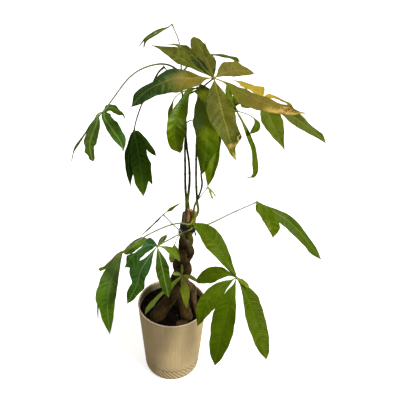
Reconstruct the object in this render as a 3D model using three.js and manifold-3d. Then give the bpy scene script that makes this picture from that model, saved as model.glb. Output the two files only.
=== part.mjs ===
// A potted money tree: a tapered pot of soil, three plaited saplings, new shoots and palmate leaves.
// Millimetres, +Z up, the origin at the middle of the pot's foot.
import * as THREE from "three";
import { mergeVertices } from "three/addons/utils/BufferGeometryUtils.js";
import Module from "manifold-3d";

const wasm = await Module();
wasm.setup();

// Pot and soil
const potHeight = 195;
const rimRadius = 75;
const footRadius = 62;
const footRound = 16;
const footSteps = 4;
const potWall = 3;
const potFloor = 4;
const lipRadius = 2;
const lipBulge = 0.4;
const grooveHeight = 24;
const grooveWidth = 2;
const grooveDepth = 0.8;
const drainRadius = 5;
const drainCircle = 28;
const drainHoles = 4;
const potSides = 40;
const soilHeight = 179;
const soilCrown = 4;
const soilEdgeDip = 4;
const soilLump = 1.3;
const gap = 0.3;

// Plaited trunk: the saplings weave about a leaning axis, then stand straight up to their cut tops
const trunkFoot = new THREE.Vector3(17, -24, 250);
const trunkTop = new THREE.Vector3(34, -6, 443);
const plaitEnd = 395;
const plaitTurn = 420;
const plaitSwing = { x: 13.6, y: 10.6 };
const plaitTaper = 0.72;
const stemSides = 10;
const stemSteps = 26;

const saplings = {
  sapling_right: {
    phase: 60,
    foot: [[56, -17, 137], [54, -20, 180], [47, -17, 214], [40, -12, 244]],
    joins: 274,
    top: 445,
    radii: [[130, 4], [180, 5.8], [215, 6], [250, 7.6], [340, 8.4], [395, 5.7], [450, 5.6]],
    colour: 0x6b4a32,
  },
  sapling_middle: {
    phase: 180,
    foot: [[31, -31, 137], [30, -32, 184]],
    joins: 250,
    top: 437,
    radii: [[130, 7], [178, 14], [205, 12], [250, 9.2], [340, 8.4], [395, 5.7], [450, 5.6]],
    colour: 0x6f6a38,
  },
  sapling_left: {
    phase: 300,
    foot: [[-38, -28, 137], [-32, -31, 182]],
    joins: 250,
    top: 447,
    radii: [[130, 9], [178, 16.5], [205, 14.5], [250, 9.2], [340, 8.4], [395, 5.7], [450, 5.6]],
    colour: 0x4f4436,
  },
};
const rootKnob = { centre: [22, -50, 175], radii: [16, 11, 11] };

// Tie round the three saplings
const tieHeight = 9;
const tieLevel = 401;
const tieThickness = 1.4;
const tieTail = [1.4, 4, 15];

// Leaves
const bladeThickness = 0.8;
const ribThickness = 1.5;
const ribBow = 0.1;
const edgeWave = 1.5;
const edgeWaves = 2.2;
const leastHalfWidth = 0.7;
const hubRadius = 3;
const stalkRadius = 1;
const wideBlade = 36;
const longBlade = 60;

// The photograph's viewpoint places the foliage: pixel x, pixel y and depth in mm along Y
const eye = new THREE.Vector3(0, -960, 1130);
const view = { yaw: 3.2, pitch: 34.6, roll: 1.9, focal: 600, middle: 200 };

const up = new THREE.Vector3(0, 0, 1);
const radians = THREE.MathUtils.degToRad;

const viewForward = new THREE.Vector3(
  Math.sin(radians(view.yaw)) * Math.cos(radians(view.pitch)),
  Math.cos(radians(view.yaw)) * Math.cos(radians(view.pitch)),
  -Math.sin(radians(view.pitch)),
);
const viewRight = new THREE.Vector3()
  .crossVectors(viewForward, up)
  .normalize()
  .applyAxisAngle(viewForward, -radians(view.roll));
const viewUp = new THREE.Vector3().crossVectors(viewRight, viewForward);

// The point that a pixel shows at a given depth
function seen([x, y, depth]) {
  const ray = viewForward
    .clone()
    .multiplyScalar(view.focal)
    .addScaledVector(viewRight, x - view.middle)
    .addScaledVector(viewUp, view.middle - y);
  return eye.clone().addScaledVector(ray, (depth - eye.y) / ray.y);
}

// Closed surfaces and solids

function surface(positions, index) {
  const geometry = new THREE.BufferGeometry();
  geometry.setAttribute("position", new THREE.Float32BufferAttribute(positions, 3));
  geometry.setIndex(index);
  return geometry;
}

function solidOf(geometry) {
  const bare = geometry.clone();
  bare.deleteAttribute("normal");
  bare.deleteAttribute("uv");
  const merged = mergeVertices(bare, 1e-4);
  return new wasm.Manifold(
    new wasm.Mesh({
      numProp: 3,
      vertProperties: merged.attributes.position.array,
      triVerts: new Uint32Array(merged.index.array),
    }),
  );
}

function geometryOf(solid) {
  const mesh = solid.getMesh();
  const geometry = new THREE.BufferGeometry();
  geometry.setAttribute("position", new THREE.BufferAttribute(mesh.vertProperties, 3));
  geometry.setIndex(new THREE.BufferAttribute(mesh.triVerts, 1));
  geometry.computeVertexNormals();
  return geometry;
}

// A closed solid through rings of points that run anticlockwise about the way they follow
function loft(rings) {
  const around = rings[0].length;
  const positions = rings.flat().flatMap((p) => p.toArray());
  const index = [];
  for (let ring = 0; ring + 1 < rings.length; ring++) {
    for (let side = 0; side < around; side++) {
      const a = ring * around + side;
      const b = ring * around + ((side + 1) % around);
      index.push(a, b, b + around);
      index.push(a, b + around, a + around);
    }
  }
  const last = (rings.length - 1) * around;
  for (let side = 1; side + 1 < around; side++) {
    index.push(0, side + 1, side);
    index.push(last, last + side, last + side + 1);
  }
  return surface(positions, index);
}

// A round stem along a smooth curve, its radius a function of its centre and of the share passed
function stem(points, radiusAt, sides, steps) {
  const curve = new THREE.CatmullRomCurve3(points, false, "centripetal");
  const frames = curve.computeFrenetFrames(steps, false);
  const rings = [];
  for (let step = 0; step <= steps; step++) {
    const centre = curve.getPointAt(step / steps);
    const radius = radiusAt(centre, step / steps);
    const ring = [];
    for (let side = 0; side < sides; side++) {
      const angle = (2 * Math.PI * side) / sides;
      ring.push(
        centre
          .clone()
          .addScaledVector(frames.normals[step], radius * Math.cos(angle))
          .addScaledVector(frames.binormals[step], radius * Math.sin(angle)),
      );
    }
    rings.push(ring);
  }
  return solidOf(loft(rings));
}

function turned(profile, segments) {
  const points = profile.map(([radius, height]) => new THREE.Vector2(radius, height));
  return new THREE.LatheGeometry(points, segments).rotateX(Math.PI / 2);
}

// Value at x on a line through [x, y] knots
function along(knots, x) {
  const next = knots.findIndex(([knot]) => knot >= x);
  if (next === 0) return knots[0][1];
  if (next < 0) return knots.at(-1)[1];
  const [x0, y0] = knots[next - 1];
  const [x1, y1] = knots[next];
  return y0 + ((y1 - y0) * (x - x0)) / (x1 - x0);
}

const potTaper = (rimRadius - footRadius) / (potHeight - footRound);
const outerRadius = (height) => footRadius + potTaper * (height - footRound);
const innerRadius = (height) => outerRadius(height) - potWall;
const innerRound = footRound - potWall;

// A quarter circle from a flat bottom up to a wall
function footArc(radius, round, bottom) {
  const arc = [];
  for (let step = 0; step <= footSteps; step++) {
    const angle = (Math.PI / 2) * (step / footSteps);
    arc.push([radius - round * (1 - Math.sin(angle)), bottom + round * (1 - Math.cos(angle))]);
  }
  return arc;
}

// The pot: a rounded foot, a groove round it, a straight tapered wall and a rolled lip
function potSolid() {
  const profile = [[0, 0], ...footArc(footRadius, footRound, 0)];
  for (const [step, depth] of [[-0.5, 0], [0, grooveDepth], [0.5, 0]]) {
    const height = grooveHeight + step * grooveWidth;
    profile.push([outerRadius(height) - depth, height]);
  }
  for (let degrees = -45; degrees <= 225; degrees += 45) {
    profile.push([
      rimRadius + lipBulge - lipRadius * (1 - Math.cos(radians(degrees))),
      potHeight - lipRadius * (1 - Math.sin(radians(degrees))),
    ]);
  }
  const innerArc = footArc(innerRadius(potFloor + innerRound), innerRound, potFloor);
  profile.push(...innerArc.reverse(), [0, potFloor]);
  let pot = solidOf(turned(profile, potSides));
  for (let hole = 0; hole < drainHoles; hole++) {
    const angle = (2 * Math.PI * (hole + 0.5)) / drainHoles;
    const drill = new THREE.CylinderGeometry(drainRadius, drainRadius, 3 * potFloor, 12)
      .rotateX(Math.PI / 2)
      .translate(drainCircle * Math.cos(angle), drainCircle * Math.sin(angle), potFloor / 2);
    pot = pot.subtract(solidOf(drill));
  }
  return pot;
}

// The soil fills the pot, with an uneven top and plain holes for the saplings
function soilSolid(holes) {
  const wallTop = innerRadius(soilHeight - soilEdgeDip) - gap;
  const profile = [
    [0, potFloor + gap],
    ...footArc(innerRadius(potFloor + innerRound) - gap, innerRound, potFloor + gap),
    [wallTop, soilHeight - soilEdgeDip],
    [wallTop - soilEdgeDip, soilHeight],
  ];
  for (const share of [0.72, 0.5, 0.25, 0]) {
    profile.push([wallTop * share, soilHeight + soilCrown * (1 - share * share)]);
  }
  const geometry = turned(profile, potSides / 2);
  const places = geometry.attributes.position;
  for (let i = 0; i < places.count; i++) {
    const x = places.getX(i);
    const y = places.getY(i);
    const level = places.getZ(i);
    const onTop = Math.hypot(x, y) < wallTop - soilEdgeDip / 2 && level >= soilHeight - 1;
    const lump = Math.sin(x / 6.1 + 1) * Math.cos(y / 5.3) + 0.6 * Math.sin((x + y) / 3.7);
    if (onTop) places.setZ(i, level + soilLump * lump);
  }
  return holes.reduce((soil, hole) => soil.subtract(hole), solidOf(geometry));
}

// Where a sapling's centre is at a height above the plait's foot
function plaited(phase, height) {
  const span = trunkTop.z - trunkFoot.z;
  const axis = trunkFoot.clone().lerp(trunkTop, (height - trunkFoot.z) / span);
  const share = Math.min(1, (height - trunkFoot.z) / (plaitEnd - trunkFoot.z));
  const turn = radians(phase + plaitTurn * share);
  const size = 1 + (plaitTaper - 1) * share;
  axis.x += plaitSwing.x * size * Math.sin(turn);
  axis.y += plaitSwing.y * size * Math.sin(2 * turn);
  return axis;
}

// A sapling from its root in the soil, up its swollen foot, through the plait to its cut top
function saplingSolid({ phase, foot, joins, top, radii }, extra = 0) {
  const points = foot.map((place) => new THREE.Vector3(...place));
  points[0].z -= extra;
  for (let height = joins; height < top - 6; height += 12) {
    points.push(plaited(phase, height));
  }
  points.push(plaited(phase, top + extra));
  return stem(points, (centre) => along(radii, centre.z) + extra, stemSides, stemSteps);
}

function knobSolid(extra = 0) {
  const ball = new THREE.IcosahedronGeometry(1, 1);
  ball.scale(...rootKnob.radii.map((radius) => radius + extra));
  ball.translate(...rootKnob.centre);
  return solidOf(ball);
}

// The tie: a flat band that runs round the row of three stems, with a short tail
function tieSolid() {
  const left = plaited(saplings.sapling_middle.phase, tieLevel);
  const right = plaited(saplings.sapling_right.phase, tieLevel);
  const half = left.distanceTo(right) / 2;
  const inner = along(saplings.sapling_left.radii, tieLevel) + 2 * gap;
  const loop = (radius, path) => {
    path.absarc(half, 0, radius, -Math.PI / 2, Math.PI / 2, false);
    path.absarc(-half, 0, radius, Math.PI / 2, 1.5 * Math.PI, false);
    return path;
  };
  const band = loop(inner + tieThickness, new THREE.Shape());
  band.holes.push(loop(inner, new THREE.Path()));
  const ring = new THREE.ExtrudeGeometry(band, {
    depth: tieHeight,
    bevelEnabled: false,
    curveSegments: 7,
  });
  const tail = new THREE.BoxGeometry(...tieTail)
    .rotateY(radians(-14))
    .translate(half + inner + 1.6 * tieThickness, -2, 0);
  const lean = trunkTop.clone().sub(trunkFoot).normalize();
  const across = right.clone().sub(left).normalize();
  const side = new THREE.Vector3().crossVectors(lean, across).normalize();
  const frame = new THREE.Matrix4().makeBasis(across, side, lean);
  frame.setPosition(left.clone().add(right).divideScalar(2));
  return solidOf(ring.applyMatrix4(frame)).add(solidOf(tail.applyMatrix4(frame)));
}

// Leaflets

// How wide a leaflet is along its rib, 1 at its widest: a wedge-shaped foot and a pointed tip,
// after a bare stretch of rib up to the share `start`
function outline(share, { peak = 0.6, blunt = 0.7, start = 0 }) {
  const foot = (blunt * peak) / (1 - peak);
  const widest = peak ** foot * (1 - peak) ** blunt;
  const place = Math.max(0, (share - start) / (1 - start));
  return (place ** foot * (1 - place) ** blunt) / widest;
}

// What is left of a leaflet's half after the notches in its edge: [share, side, depth, span]
function notched(share, side, notches = []) {
  return notches.reduce((left, [place, edge, depth, span]) => {
    const near = Math.max(0, 1 - Math.abs(share - place) / span);
    return edge * side > 0 ? left * (1 - depth * near) : left;
  }, 1);
}

// A thin blade along a bowed rib from the hub to its tip, folded along the rib, its edges waved.
// It faces up, or turns by the share `face` of the way to the viewer, then by `twist` degrees more
// on the way to its tip. `halves` narrows its right or left half.
function bladeSolid(hub, leaflet) {
  const { width, face = 0.3, twist = 0, fold = 10, halves: [right, left] = [1, 1] } = leaflet;
  const tip = seen(leaflet.tip);
  const length = hub.distanceTo(tip);
  const middle = hub.clone().lerp(tip, 0.5);
  const bend = leaflet.via
    ? seen(leaflet.via).multiplyScalar(2).sub(middle)
    : middle.clone().addScaledVector(up, ribBow * length);
  const rib = new THREE.QuadraticBezierCurve3(hub, bend, tip);

  const chord = tip.clone().sub(hub).normalize();
  const level = new THREE.Vector3().crossVectors(up, chord).normalize();
  const above = new THREE.Vector3().crossVectors(chord, level);
  const toEye = eye.clone().sub(middle);
  const upper = Math.sign(toEye.dot(above));
  const fullTurn = Math.atan2(-upper * toEye.dot(level), upper * toEye.dot(above));

  const steps = length > longBlade ? 8 : 5;
  const across = width > wideBlade ? [-1, -0.55, 0, 0.55, 1] : [-1, 0, 1];
  const positions = [];
  for (let step = 0; step <= steps; step++) {
    const share = step / steps;
    const at = Math.min(share, 0.985);
    const forward = rib.getTangent(at);
    const angle = face * fullTurn + radians(twist * share);
    const side = level
      .clone()
      .multiplyScalar(Math.cos(angle))
      .addScaledVector(above, Math.sin(angle));
    side.addScaledVector(forward, -side.dot(forward)).normalize();
    const normal = new THREE.Vector3().crossVectors(forward, side);
    const half = 0.5 * width * outline(at, leaflet) + leastHalfWidth;
    const rows = across.map((place) => {
      const own = place < 0 ? right : left;
      const reach = half * own * place * notched(share, place, leaflet.notches);
      const ripple = edgeWave * place * place * Math.sin(2 * Math.PI * edgeWaves * share + 2 * place);
      const lift = Math.abs(reach) * Math.tan(radians(fold)) + ripple * Math.min(1, half / 8);
      const thickness = bladeThickness + (ribThickness - bladeThickness) * (1 - Math.abs(place));
      const centre = rib.getPoint(share).addScaledVector(side, reach).addScaledVector(normal, lift);
      return [1, -1].map((face) => centre.clone().addScaledVector(normal, (face * thickness) / 2));
    });
    for (const layer of [0, 1]) {
      rows.forEach((pair) => positions.push(...pair[layer].toArray()));
    }
  }
  return solidOf(surface(positions, bladeIndex(steps, across.length)));
}

// Faces of a blade: both layers split alike, then the two long edges and the two ends
function bladeIndex(steps, across) {
  const index = [];
  const at = (step, layer, place) => (step * 2 + layer) * across + place;
  const quad = (a, b, c, d) => index.push(a, b, c, a, c, d);
  for (let step = 0; step < steps; step++) {
    for (let place = 0; place + 1 < across; place++) {
      const lower = [at(step, 1, place), at(step + 1, 1, place)];
      lower.push(at(step + 1, 1, place + 1), at(step, 1, place + 1));
      const upper = lower.map((corner) => corner - across);
      quad(...upper);
      index.push(lower[0], lower[2], lower[1], lower[0], lower[3], lower[2]);
    }
    for (const [place, sense] of [[0, 1], [across - 1, -1]]) {
      const near = [at(step, 0, place), at(step, 1, place)];
      const far = [at(step + 1, 0, place), at(step + 1, 1, place)];
      if (sense > 0) quad(near[0], near[1], far[1], far[0]);
      else quad(near[0], far[0], far[1], near[1]);
    }
  }
  for (const [step, sense] of [[0, 1], [steps, -1]]) {
    for (let place = 0; place + 1 < across; place++) {
      const top = [at(step, 0, place), at(step, 0, place + 1)];
      const bottom = [at(step, 1, place), at(step, 1, place + 1)];
      if (sense > 0) quad(top[0], top[1], bottom[1], bottom[0]);
      else quad(top[0], bottom[0], bottom[1], top[1]);
    }
  }
  return index;
}

// A palmate leaf: a thin stalk from the middle of its stem to the hub, and leaflets round the hub
function leafSolid({ from, at, stalk, hub, leaflets }) {
  const centre = seen(hub);
  const route = [carried(from, at), ...stalk.map(seen), centre];
  const length = new THREE.CatmullRomCurve3(route).getLength();
  const steps = Math.max(4, Math.round(length / 22));
  const radiusAt = (_, share) => stalkRadius * (1.35 - 0.35 * share);
  const hubBall = new THREE.IcosahedronGeometry(hubRadius, 0).translate(...centre);
  const leaf = stem(route, radiusAt, 5, steps).add(solidOf(hubBall));
  return leaflets.reduce((whole, leaflet) => whole.add(bladeSolid(centre, leaflet)), leaf);
}

// New shoots: the first stem of each starts inside the sapling at the height `at`
const shoots = {
  shoot_left: {
    from: "sapling_middle",
    at: 424,
    stems: [
      {
        points: [
          [186.9, 211, 3],
          [186.6, 203, 0],
          [185.8, 190, -4],
          [185.2, 165, -6],
          [185, 145, -6],
          [186, 126, -4],
          [182.5, 97, -1],
          [181.3, 72, 4],
          [181, 60, 7],
        ],
        radii: [2.7, 1.2],
      },
      {
        points: [
          [186.4, 201, -1],
          [188.2, 192, -4],
          [189.6, 181, -6],
          [189, 162, -6],
          [187, 148, -5],
          [185.8, 134, -5],
        ],
        radii: [2, 1.5],
      },
      { points: [[182.2, 93, 0], [175, 80, 10], [166.5, 70, 18], [163.3, 65.5, 20]], radii: [1.5, 1.1] },
    ],
  },
  shoot_right: {
    from: "sapling_right",
    at: 426,
    stems: [
      {
        points: [
          [198.2, 211, -10],
          [197.2, 201.5, -7],
          [196.4, 188, -6],
          [196.1, 170, -6],
          [196.6, 140, -5],
          [198, 112, -4],
          [199, 98, -4],
        ],
        radii: [2.1, 1.3],
      },
    ],
  },
  shoot_middle: {
    from: "sapling_right",
    at: 434,
    stems: [
      {
        points: [
          [194.6, 206, -19],
          [197.2, 200, -17],
          [201, 190, -14],
          [202.1, 184, -12],
          [201.2, 174, -9],
          [203.5, 152, -4],
          [208, 132, 0],
          [214, 119, 4],
          [222, 110, 8],
        ],
        radii: [1.9, 1.2],
      },
    ],
  },
};

// A shoot's stems as routes of points in space
function shootRoutes({ from, at, stems }) {
  return stems.map(({ points }, index) => {
    const route = points.map(seen);
    return index === 0 ? [carried(from, at), ...route] : route;
  });
}

function shootSolid(shoot, extra = 0) {
  const solids = shootRoutes(shoot).map((route, index) => {
    const [thick, thin] = shoot.stems[index].radii;
    const length = new THREE.CatmullRomCurve3(route).getLength();
    const radiusAt = (_, share) => thick + (thin - thick) * share + extra;
    return stem(route, radiusAt, 6, Math.round(length / 20));
  });
  return solids.reduce((all, one) => all.add(one));
}

// The middle of a sapling at a height, or of a shoot's stem at a share of its length
function carried(from, at) {
  if (from in saplings) return plaited(saplings[from].phase, at);
  const [index, share] = at;
  const route = shootRoutes(shoots[from])[index];
  return new THREE.CatmullRomCurve3(route, false, "centripetal").getPointAt(share);
}

// Leaves by name: `from` is the stem that carries the leaf and `at` the place on it
const leaves = {
  leaf_crown: {
    from: "shoot_left",
    at: [0, 0.79],
    stalk: [[186, 95.5, 0], [192, 92.5, 1], [200, 88.5, -8]],
    hub: [214, 78, -60],
    leaflets: [
      { tip: [195, 36, 70], width: 30, via: [205, 56, 10], face: 0.2, peak: 0.66, blunt: 0.4 },
      { tip: [151, 45, 20], width: 33, via: [184.5, 60, -14], face: 0.3 },
      { tip: [169, 44.5, 55], width: 22, via: [192, 59, 4], face: 0.2 },
      { tip: [132, 107, -100], width: 37, via: [173, 80.5, -76], face: 0.6, twist: -20, peak: 0.46 },
      { tip: [235, 160, -140], width: 40, via: [224.5, 113, -92], face: 0.6, peak: 0.52 },
      { tip: [304, 113, -110], width: 30, via: [257, 99, -80], face: 0.35, peak: 0.46 },
      { tip: [255, 74, -30], width: 38, via: [234, 74, -46], face: 0.7, peak: 0.38, halves: [0.3, 1] },
    ],
  },
  leaf_back: {
    from: "shoot_left",
    at: [0, 0.93],
    stalk: [[190, 64, 34]],
    hub: [204, 55, 60],
    leaflets: [
      { tip: [240, 61, 20], width: 14, face: 0, via: [222, 54.5, 44] },
      { tip: [222, 64, 130], width: 30, face: 0.1 },
      { tip: [192, 66, 140], width: 32, face: 0.1 },
      { tip: [176, 56, 90], width: 26, face: 0.1 },
    ],
  },
  leaf_right: {
    from: "shoot_middle",
    at: [0, 0.97],
    stalk: [[240, 103.5, 34]],
    hub: [262, 101, 44],
    leaflets: [
      { tip: [235, 80, 100], width: 26, face: 0.2, via: [252, 86, 76], peak: 0.36 },
      { tip: [298, 113, 84], width: 26, face: 0.3, via: [280, 101, 70] },
      { tip: [284, 149, 0], width: 32, face: 0.8 },
      { tip: [326.5, 143, 12], width: 31, via: [295, 118.5, 30], face: 0.7, blunt: 0.6 },
    ],
  },
  leaf_right_low: {
    from: "shoot_middle",
    at: [0, 0.88],
    stalk: [[225, 114, 0]],
    hub: [237, 111, -6],
    leaflets: [
      { tip: [248.5, 178, -50], width: 18, via: [254.5, 146, -34], face: 0.4, twist: 30, peak: 0.72 },
      { tip: [250.5, 134, -30], width: 24, via: [253, 120, -20], face: 0.8, peak: 0.66, start: 0.45 },
      { tip: [264, 108, 0], width: 24, face: 0.5 },
      { tip: [227, 86, 30], width: 22, face: 0.4 },
    ],
  },
  leaf_under: {
    from: "shoot_right",
    at: [0, 0.97],
    stalk: [[199.5, 92, -10]],
    hub: [197.5, 88, -18],
    leaflets: [
      {
        tip: [175, 151, -62],
        width: 33,
        via: [178.5, 117, -46],
        face: 0.85,
        peak: 0.66,
        blunt: 0.4,
      },
      { tip: [167, 119, -18], width: 13, via: [175.5, 99, -20], face: 0.3 },
      {
        tip: [202, 174, -64],
        width: 36,
        via: [205.5, 131, -44],
        face: 0.85,
        notches: [[0.62, -1, 0.3, 0.06]],
      },
      { tip: [214, 118, -74], width: 22, face: 0.6 },
    ],
  },
  leaf_under_back: {
    from: "shoot_middle",
    at: [0, 0.7],
    stalk: [[209, 130, -10]],
    hub: [215, 112, -20],
    leaflets: [
      { tip: [208.5, 185, -44], width: 33, via: [213.5, 148, -36], face: 0.85, peak: 0.55 },
      { tip: [236, 138, -34], width: 22, face: 0.5 },
    ],
  },
  leaf_arch: {
    from: "shoot_left",
    at: [0, 0.935],
    stalk: [[170, 65.5, 9], [160, 64, 12], [143.7, 68, 13], [129.9, 77, 9], [112, 100, -2]],
    hub: [103.5, 111.5, -8],
    leaflets: [
      { tip: [71.5, 162, -16], width: 8, via: [87, 137, -10], face: 0.2, fold: 30 },
      {
        tip: [93, 161, -40],
        width: 26,
        via: [97, 134, -26],
        face: 0.8,
        blunt: 0.4,
        notches: [[0.78, -1, 0.5, 0.1], [0.7, 1, 0.4, 0.08]],
      },
      { tip: [124.5, 154, -40], width: 24, via: [114, 129, -26], face: 0.8, blunt: 0.5 },
      { tip: [125, 119, 20], width: 15, via: [116, 106, 6], face: 0.3 },
    ],
  },
  leaf_hanging: {
    from: "shoot_left",
    at: [2, 0.95],
    stalk: [[158.8, 72, 22], [150, 89, 27], [141.7, 104.7, 34], [135.8, 122, 41]],
    hub: [134, 131, 44],
    leaflets: [
      { tip: [143.5, 197.5, 22], width: 34, via: [140.5, 162, 34], face: 0.9, peak: 0.55 },
      { tip: [130.5, 188, 48], width: 26, via: [129, 157, 44], face: 0.9, peak: 0.5 },
      { tip: [151.5, 184, 54], width: 22, via: [147, 157, 52], face: 0.9 },
      { tip: [156.5, 156.5, 62], width: 20, via: [147.5, 141, 56], face: 0.8 },
    ],
  },
  leaf_top: {
    from: "shoot_left",
    at: [0, 0.985],
    stalk: [[178.8, 41, 16], [175, 31, 24]],
    hub: [172, 24, 30],
    leaflets: [
      { tip: [139.5, 45, 30], width: 10, via: [153.5, 30.5, 32], face: 0.5 },
      { tip: [143.5, 49, 14], width: 9, via: [155.5, 35, 22], face: 0.5 },
    ],
  },
  leaf_far_right: {
    from: "sapling_right",
    at: 424,
    stalk: [[199, 227, -6], [209, 224, 6], [232, 213, 40]],
    hub: [257, 202, 70],
    leaflets: [
      { tip: [273, 237, 44], width: 27, via: [267.3, 219, 60], face: 0.85, peak: 0.66 },
      { tip: [321, 259, 26], width: 29, via: [290.3, 225.5, 52], face: 0.7, peak: 0.56 },
    ],
  },
  leaf_front_right: {
    from: "sapling_right",
    at: 419,
    stalk: [[196, 229, -32], [214, 254, -80]],
    hub: [236.5, 277.7, -140],
    leaflets: [
      { tip: [194, 222.5, -60], width: 29, via: [216.8, 245.2, -98], face: 0.8, peak: 0.58 },
      { tip: [196.5, 280, -112], width: 29, via: [216, 273.5, -124], face: 0.8, peak: 0.6, blunt: 0.5 },
      { tip: [197, 325, -180], width: 38, via: [211.5, 296, -162], face: 0.9 },
      { tip: [214.5, 365, -190], width: 44, via: [223.5, 321, -174], face: 0.95, blunt: 0.5 },
      { tip: [267, 358.7, -180], width: 35, via: [253.2, 314.5, -166], face: 0.9, blunt: 0.5 },
      { tip: [246, 286, -150], width: 6, face: 0.5 },
    ],
  },
  leaf_small: {
    from: "sapling_left",
    at: 320,
    stalk: [[185, 266, -48]],
    hub: [182, 275.5, -60],
    leaflets: [
      { tip: [182, 263.5, -64], width: 11, face: 0.8 },
      { tip: [171.5, 272, -68], width: 13, face: 0.8 },
      { tip: [198, 281.5, -78], width: 10, face: 0.7 },
      { tip: [187, 308, -78], width: 17, via: [186, 291, -72], face: 0.9 },
      { tip: [145, 314, -45], width: 17, via: [165, 291, -58], face: 0.8, peak: 0.66 },
    ],
  },
  leaf_mid_left: {
    from: "sapling_right",
    at: 414,
    stalk: [[190.5, 229.5, -32], [179.8, 234, -48], [166, 241.3, -76]],
    hub: [157.5, 246, -100],
    leaflets: [
      { tip: [166.5, 234, -86], width: 10, face: 0.9 },
      { tip: [181, 261.5, -84], width: 15, face: 0.8, peak: 0.6 },
      { tip: [169, 296.5, -112], width: 31, via: [161, 269, -108], face: 0.9 },
      {
        tip: [127, 303, -140],
        width: 38,
        via: [145.5, 272, -126],
        face: 0.9,
        peak: 0.5,
        notches: [[0.72, -1, 0.45, 0.09]],
      },
      { tip: [124.5, 268, -130], width: 38, via: [143, 248, -116], face: 0.6, peak: 0.4 },
    ],
  },
  leaf_far_left: {
    from: "sapling_right",
    at: 431,
    stalk: [
      [189.5, 224.4, -32],
      [181.4, 223.2, -34],
      [172.3, 224.5, -38],
      [159.9, 229, -46],
      [145, 236.5, -54],
      [132, 245, -62],
    ],
    hub: [122.5, 252, -68],
    leaflets: [
      {
        tip: [109.5, 332.5, -100],
        width: 44,
        via: [110.5, 288, -90],
        face: 0.9,
        peak: 0.54,
        halves: [1, 0.72],
      },
      { tip: [98.5, 268, -60], width: 11, via: [110, 261, -64], face: 0.4, fold: 30 },
      { tip: [147, 238, -44], width: 16, via: [134, 246, -54], face: 0.7 },
      { tip: [98, 318, -72], width: 20, via: [103, 284, -74], face: 0.5 },
    ],
  },
  leaf_up_left: {
    from: "sapling_left",
    at: 384,
    stalk: [[184, 234.5, -38], [174, 225.5, -42]],
    hub: [163.3, 214.5, -46],
    leaflets: [
      { tip: [180, 203, -52], width: 6.5, face: 0.4 },
      { tip: [141, 236, -56], width: 3, face: 0.2, fold: 30 },
    ],
  },
  leaf_tiny: {
    from: "sapling_left",
    at: 374,
    stalk: [[178, 237, -34]],
    hub: [174.4, 245, -36],
    leaflets: [
      { tip: [171, 263, -42], width: 11, face: 0.8 },
      { tip: [178, 258, -44], width: 9, face: 0.8 },
    ],
  },
  leaf_new: {
    from: "shoot_middle",
    at: [0, 0.17],
    stalk: [[202, 194.5, -22]],
    hub: [208, 187, -20],
    leaflets: [
      { tip: [213, 199, -24], width: 6, face: 0.5 },
      { tip: [216.5, 197, -16], width: 6, face: 0.5 },
      { tip: [207, 178, -20], width: 6, face: 0.5 },
    ],
  },
};

// The largest body of a solid, without the crumbs that a cut may leave
function mainBody(solid) {
  return solid.decompose().reduce((one, other) => (other.volume() > one.volume() ? other : one));
}

function material(colour, roughness) {
  return new THREE.MeshStandardMaterial({ color: colour, roughness, metalness: 0 });
}

const moneyTree = new THREE.Group();

function addMesh(name, solid, finish) {
  const mesh = new THREE.Mesh(geometryOf(solid), finish);
  mesh.name = name;
  moneyTree.add(mesh);
}

addMesh("pot", potSolid(), material(0xb59f78, 0.7));

const holes = Object.values(saplings).map((sapling) => saplingSolid(sapling, gap));
addMesh("soil", soilSolid([...holes, knobSolid(gap)]), material(0x1d1712, 1));

// What each stem clears: a gap wider than the stem itself
const cleared = {};

// The saplings press against one another, each shaped by those before it
for (const [name, sapling] of Object.entries(saplings)) {
  const whole = name === "sapling_middle" ? saplingSolid(sapling).add(knobSolid()) : saplingSolid(sapling);
  const pressed = Object.values(cleared).reduce((solid, other) => solid.subtract(other), whole);
  cleared[name] = saplingSolid(sapling, gap);
  addMesh(name, mainBody(pressed), material(sapling.colour, 0.85));
}

addMesh("tie", tieSolid(), material(0x1c2233, 0.6));

for (const [name, shoot] of Object.entries(shoots)) {
  cleared[name] = shootSolid(shoot, gap);
  addMesh(name, mainBody(shootSolid(shoot).subtract(cleared[shoot.from])), material(0x4a5230, 0.7));
}

for (const [name, leaf] of Object.entries(leaves)) {
  addMesh(name, mainBody(leafSolid(leaf).subtract(cleared[leaf.from])), material(0x4c7a22, 0.5));
}

export default moneyTree;
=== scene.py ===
import bpy
import numpy as np
from mathutils import Matrix, Vector


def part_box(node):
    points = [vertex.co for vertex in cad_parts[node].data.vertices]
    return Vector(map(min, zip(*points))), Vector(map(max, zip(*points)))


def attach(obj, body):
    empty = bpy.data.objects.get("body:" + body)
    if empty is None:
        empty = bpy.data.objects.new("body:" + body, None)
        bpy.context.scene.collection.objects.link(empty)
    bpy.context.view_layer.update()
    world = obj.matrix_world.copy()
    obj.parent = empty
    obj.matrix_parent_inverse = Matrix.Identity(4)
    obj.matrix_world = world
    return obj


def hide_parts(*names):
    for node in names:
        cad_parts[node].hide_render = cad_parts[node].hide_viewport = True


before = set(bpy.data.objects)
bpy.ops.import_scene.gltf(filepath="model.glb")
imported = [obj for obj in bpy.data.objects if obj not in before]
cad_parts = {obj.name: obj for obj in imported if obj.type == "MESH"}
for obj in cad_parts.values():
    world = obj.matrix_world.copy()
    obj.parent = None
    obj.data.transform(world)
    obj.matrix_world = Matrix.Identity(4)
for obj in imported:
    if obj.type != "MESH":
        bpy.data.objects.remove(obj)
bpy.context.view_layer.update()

metre = 0.001
sharpFrom = 55  # degrees between two faces from which their edge is drawn sharp
print("frame:", len(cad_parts), "nodes")


# Small tools

def unit(vectors):
    # each vector divided by its own length
    return vectors / np.maximum(np.linalg.norm(vectors, axis=-1, keepdims=True), 1e-9)


def smoothStep(low, high, value):
    # 0 below low, 1 above high, and an even S between them
    share = np.clip((value - low) / (high - low), 0, 1)
    return share * share * (3 - 2 * share)


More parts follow.
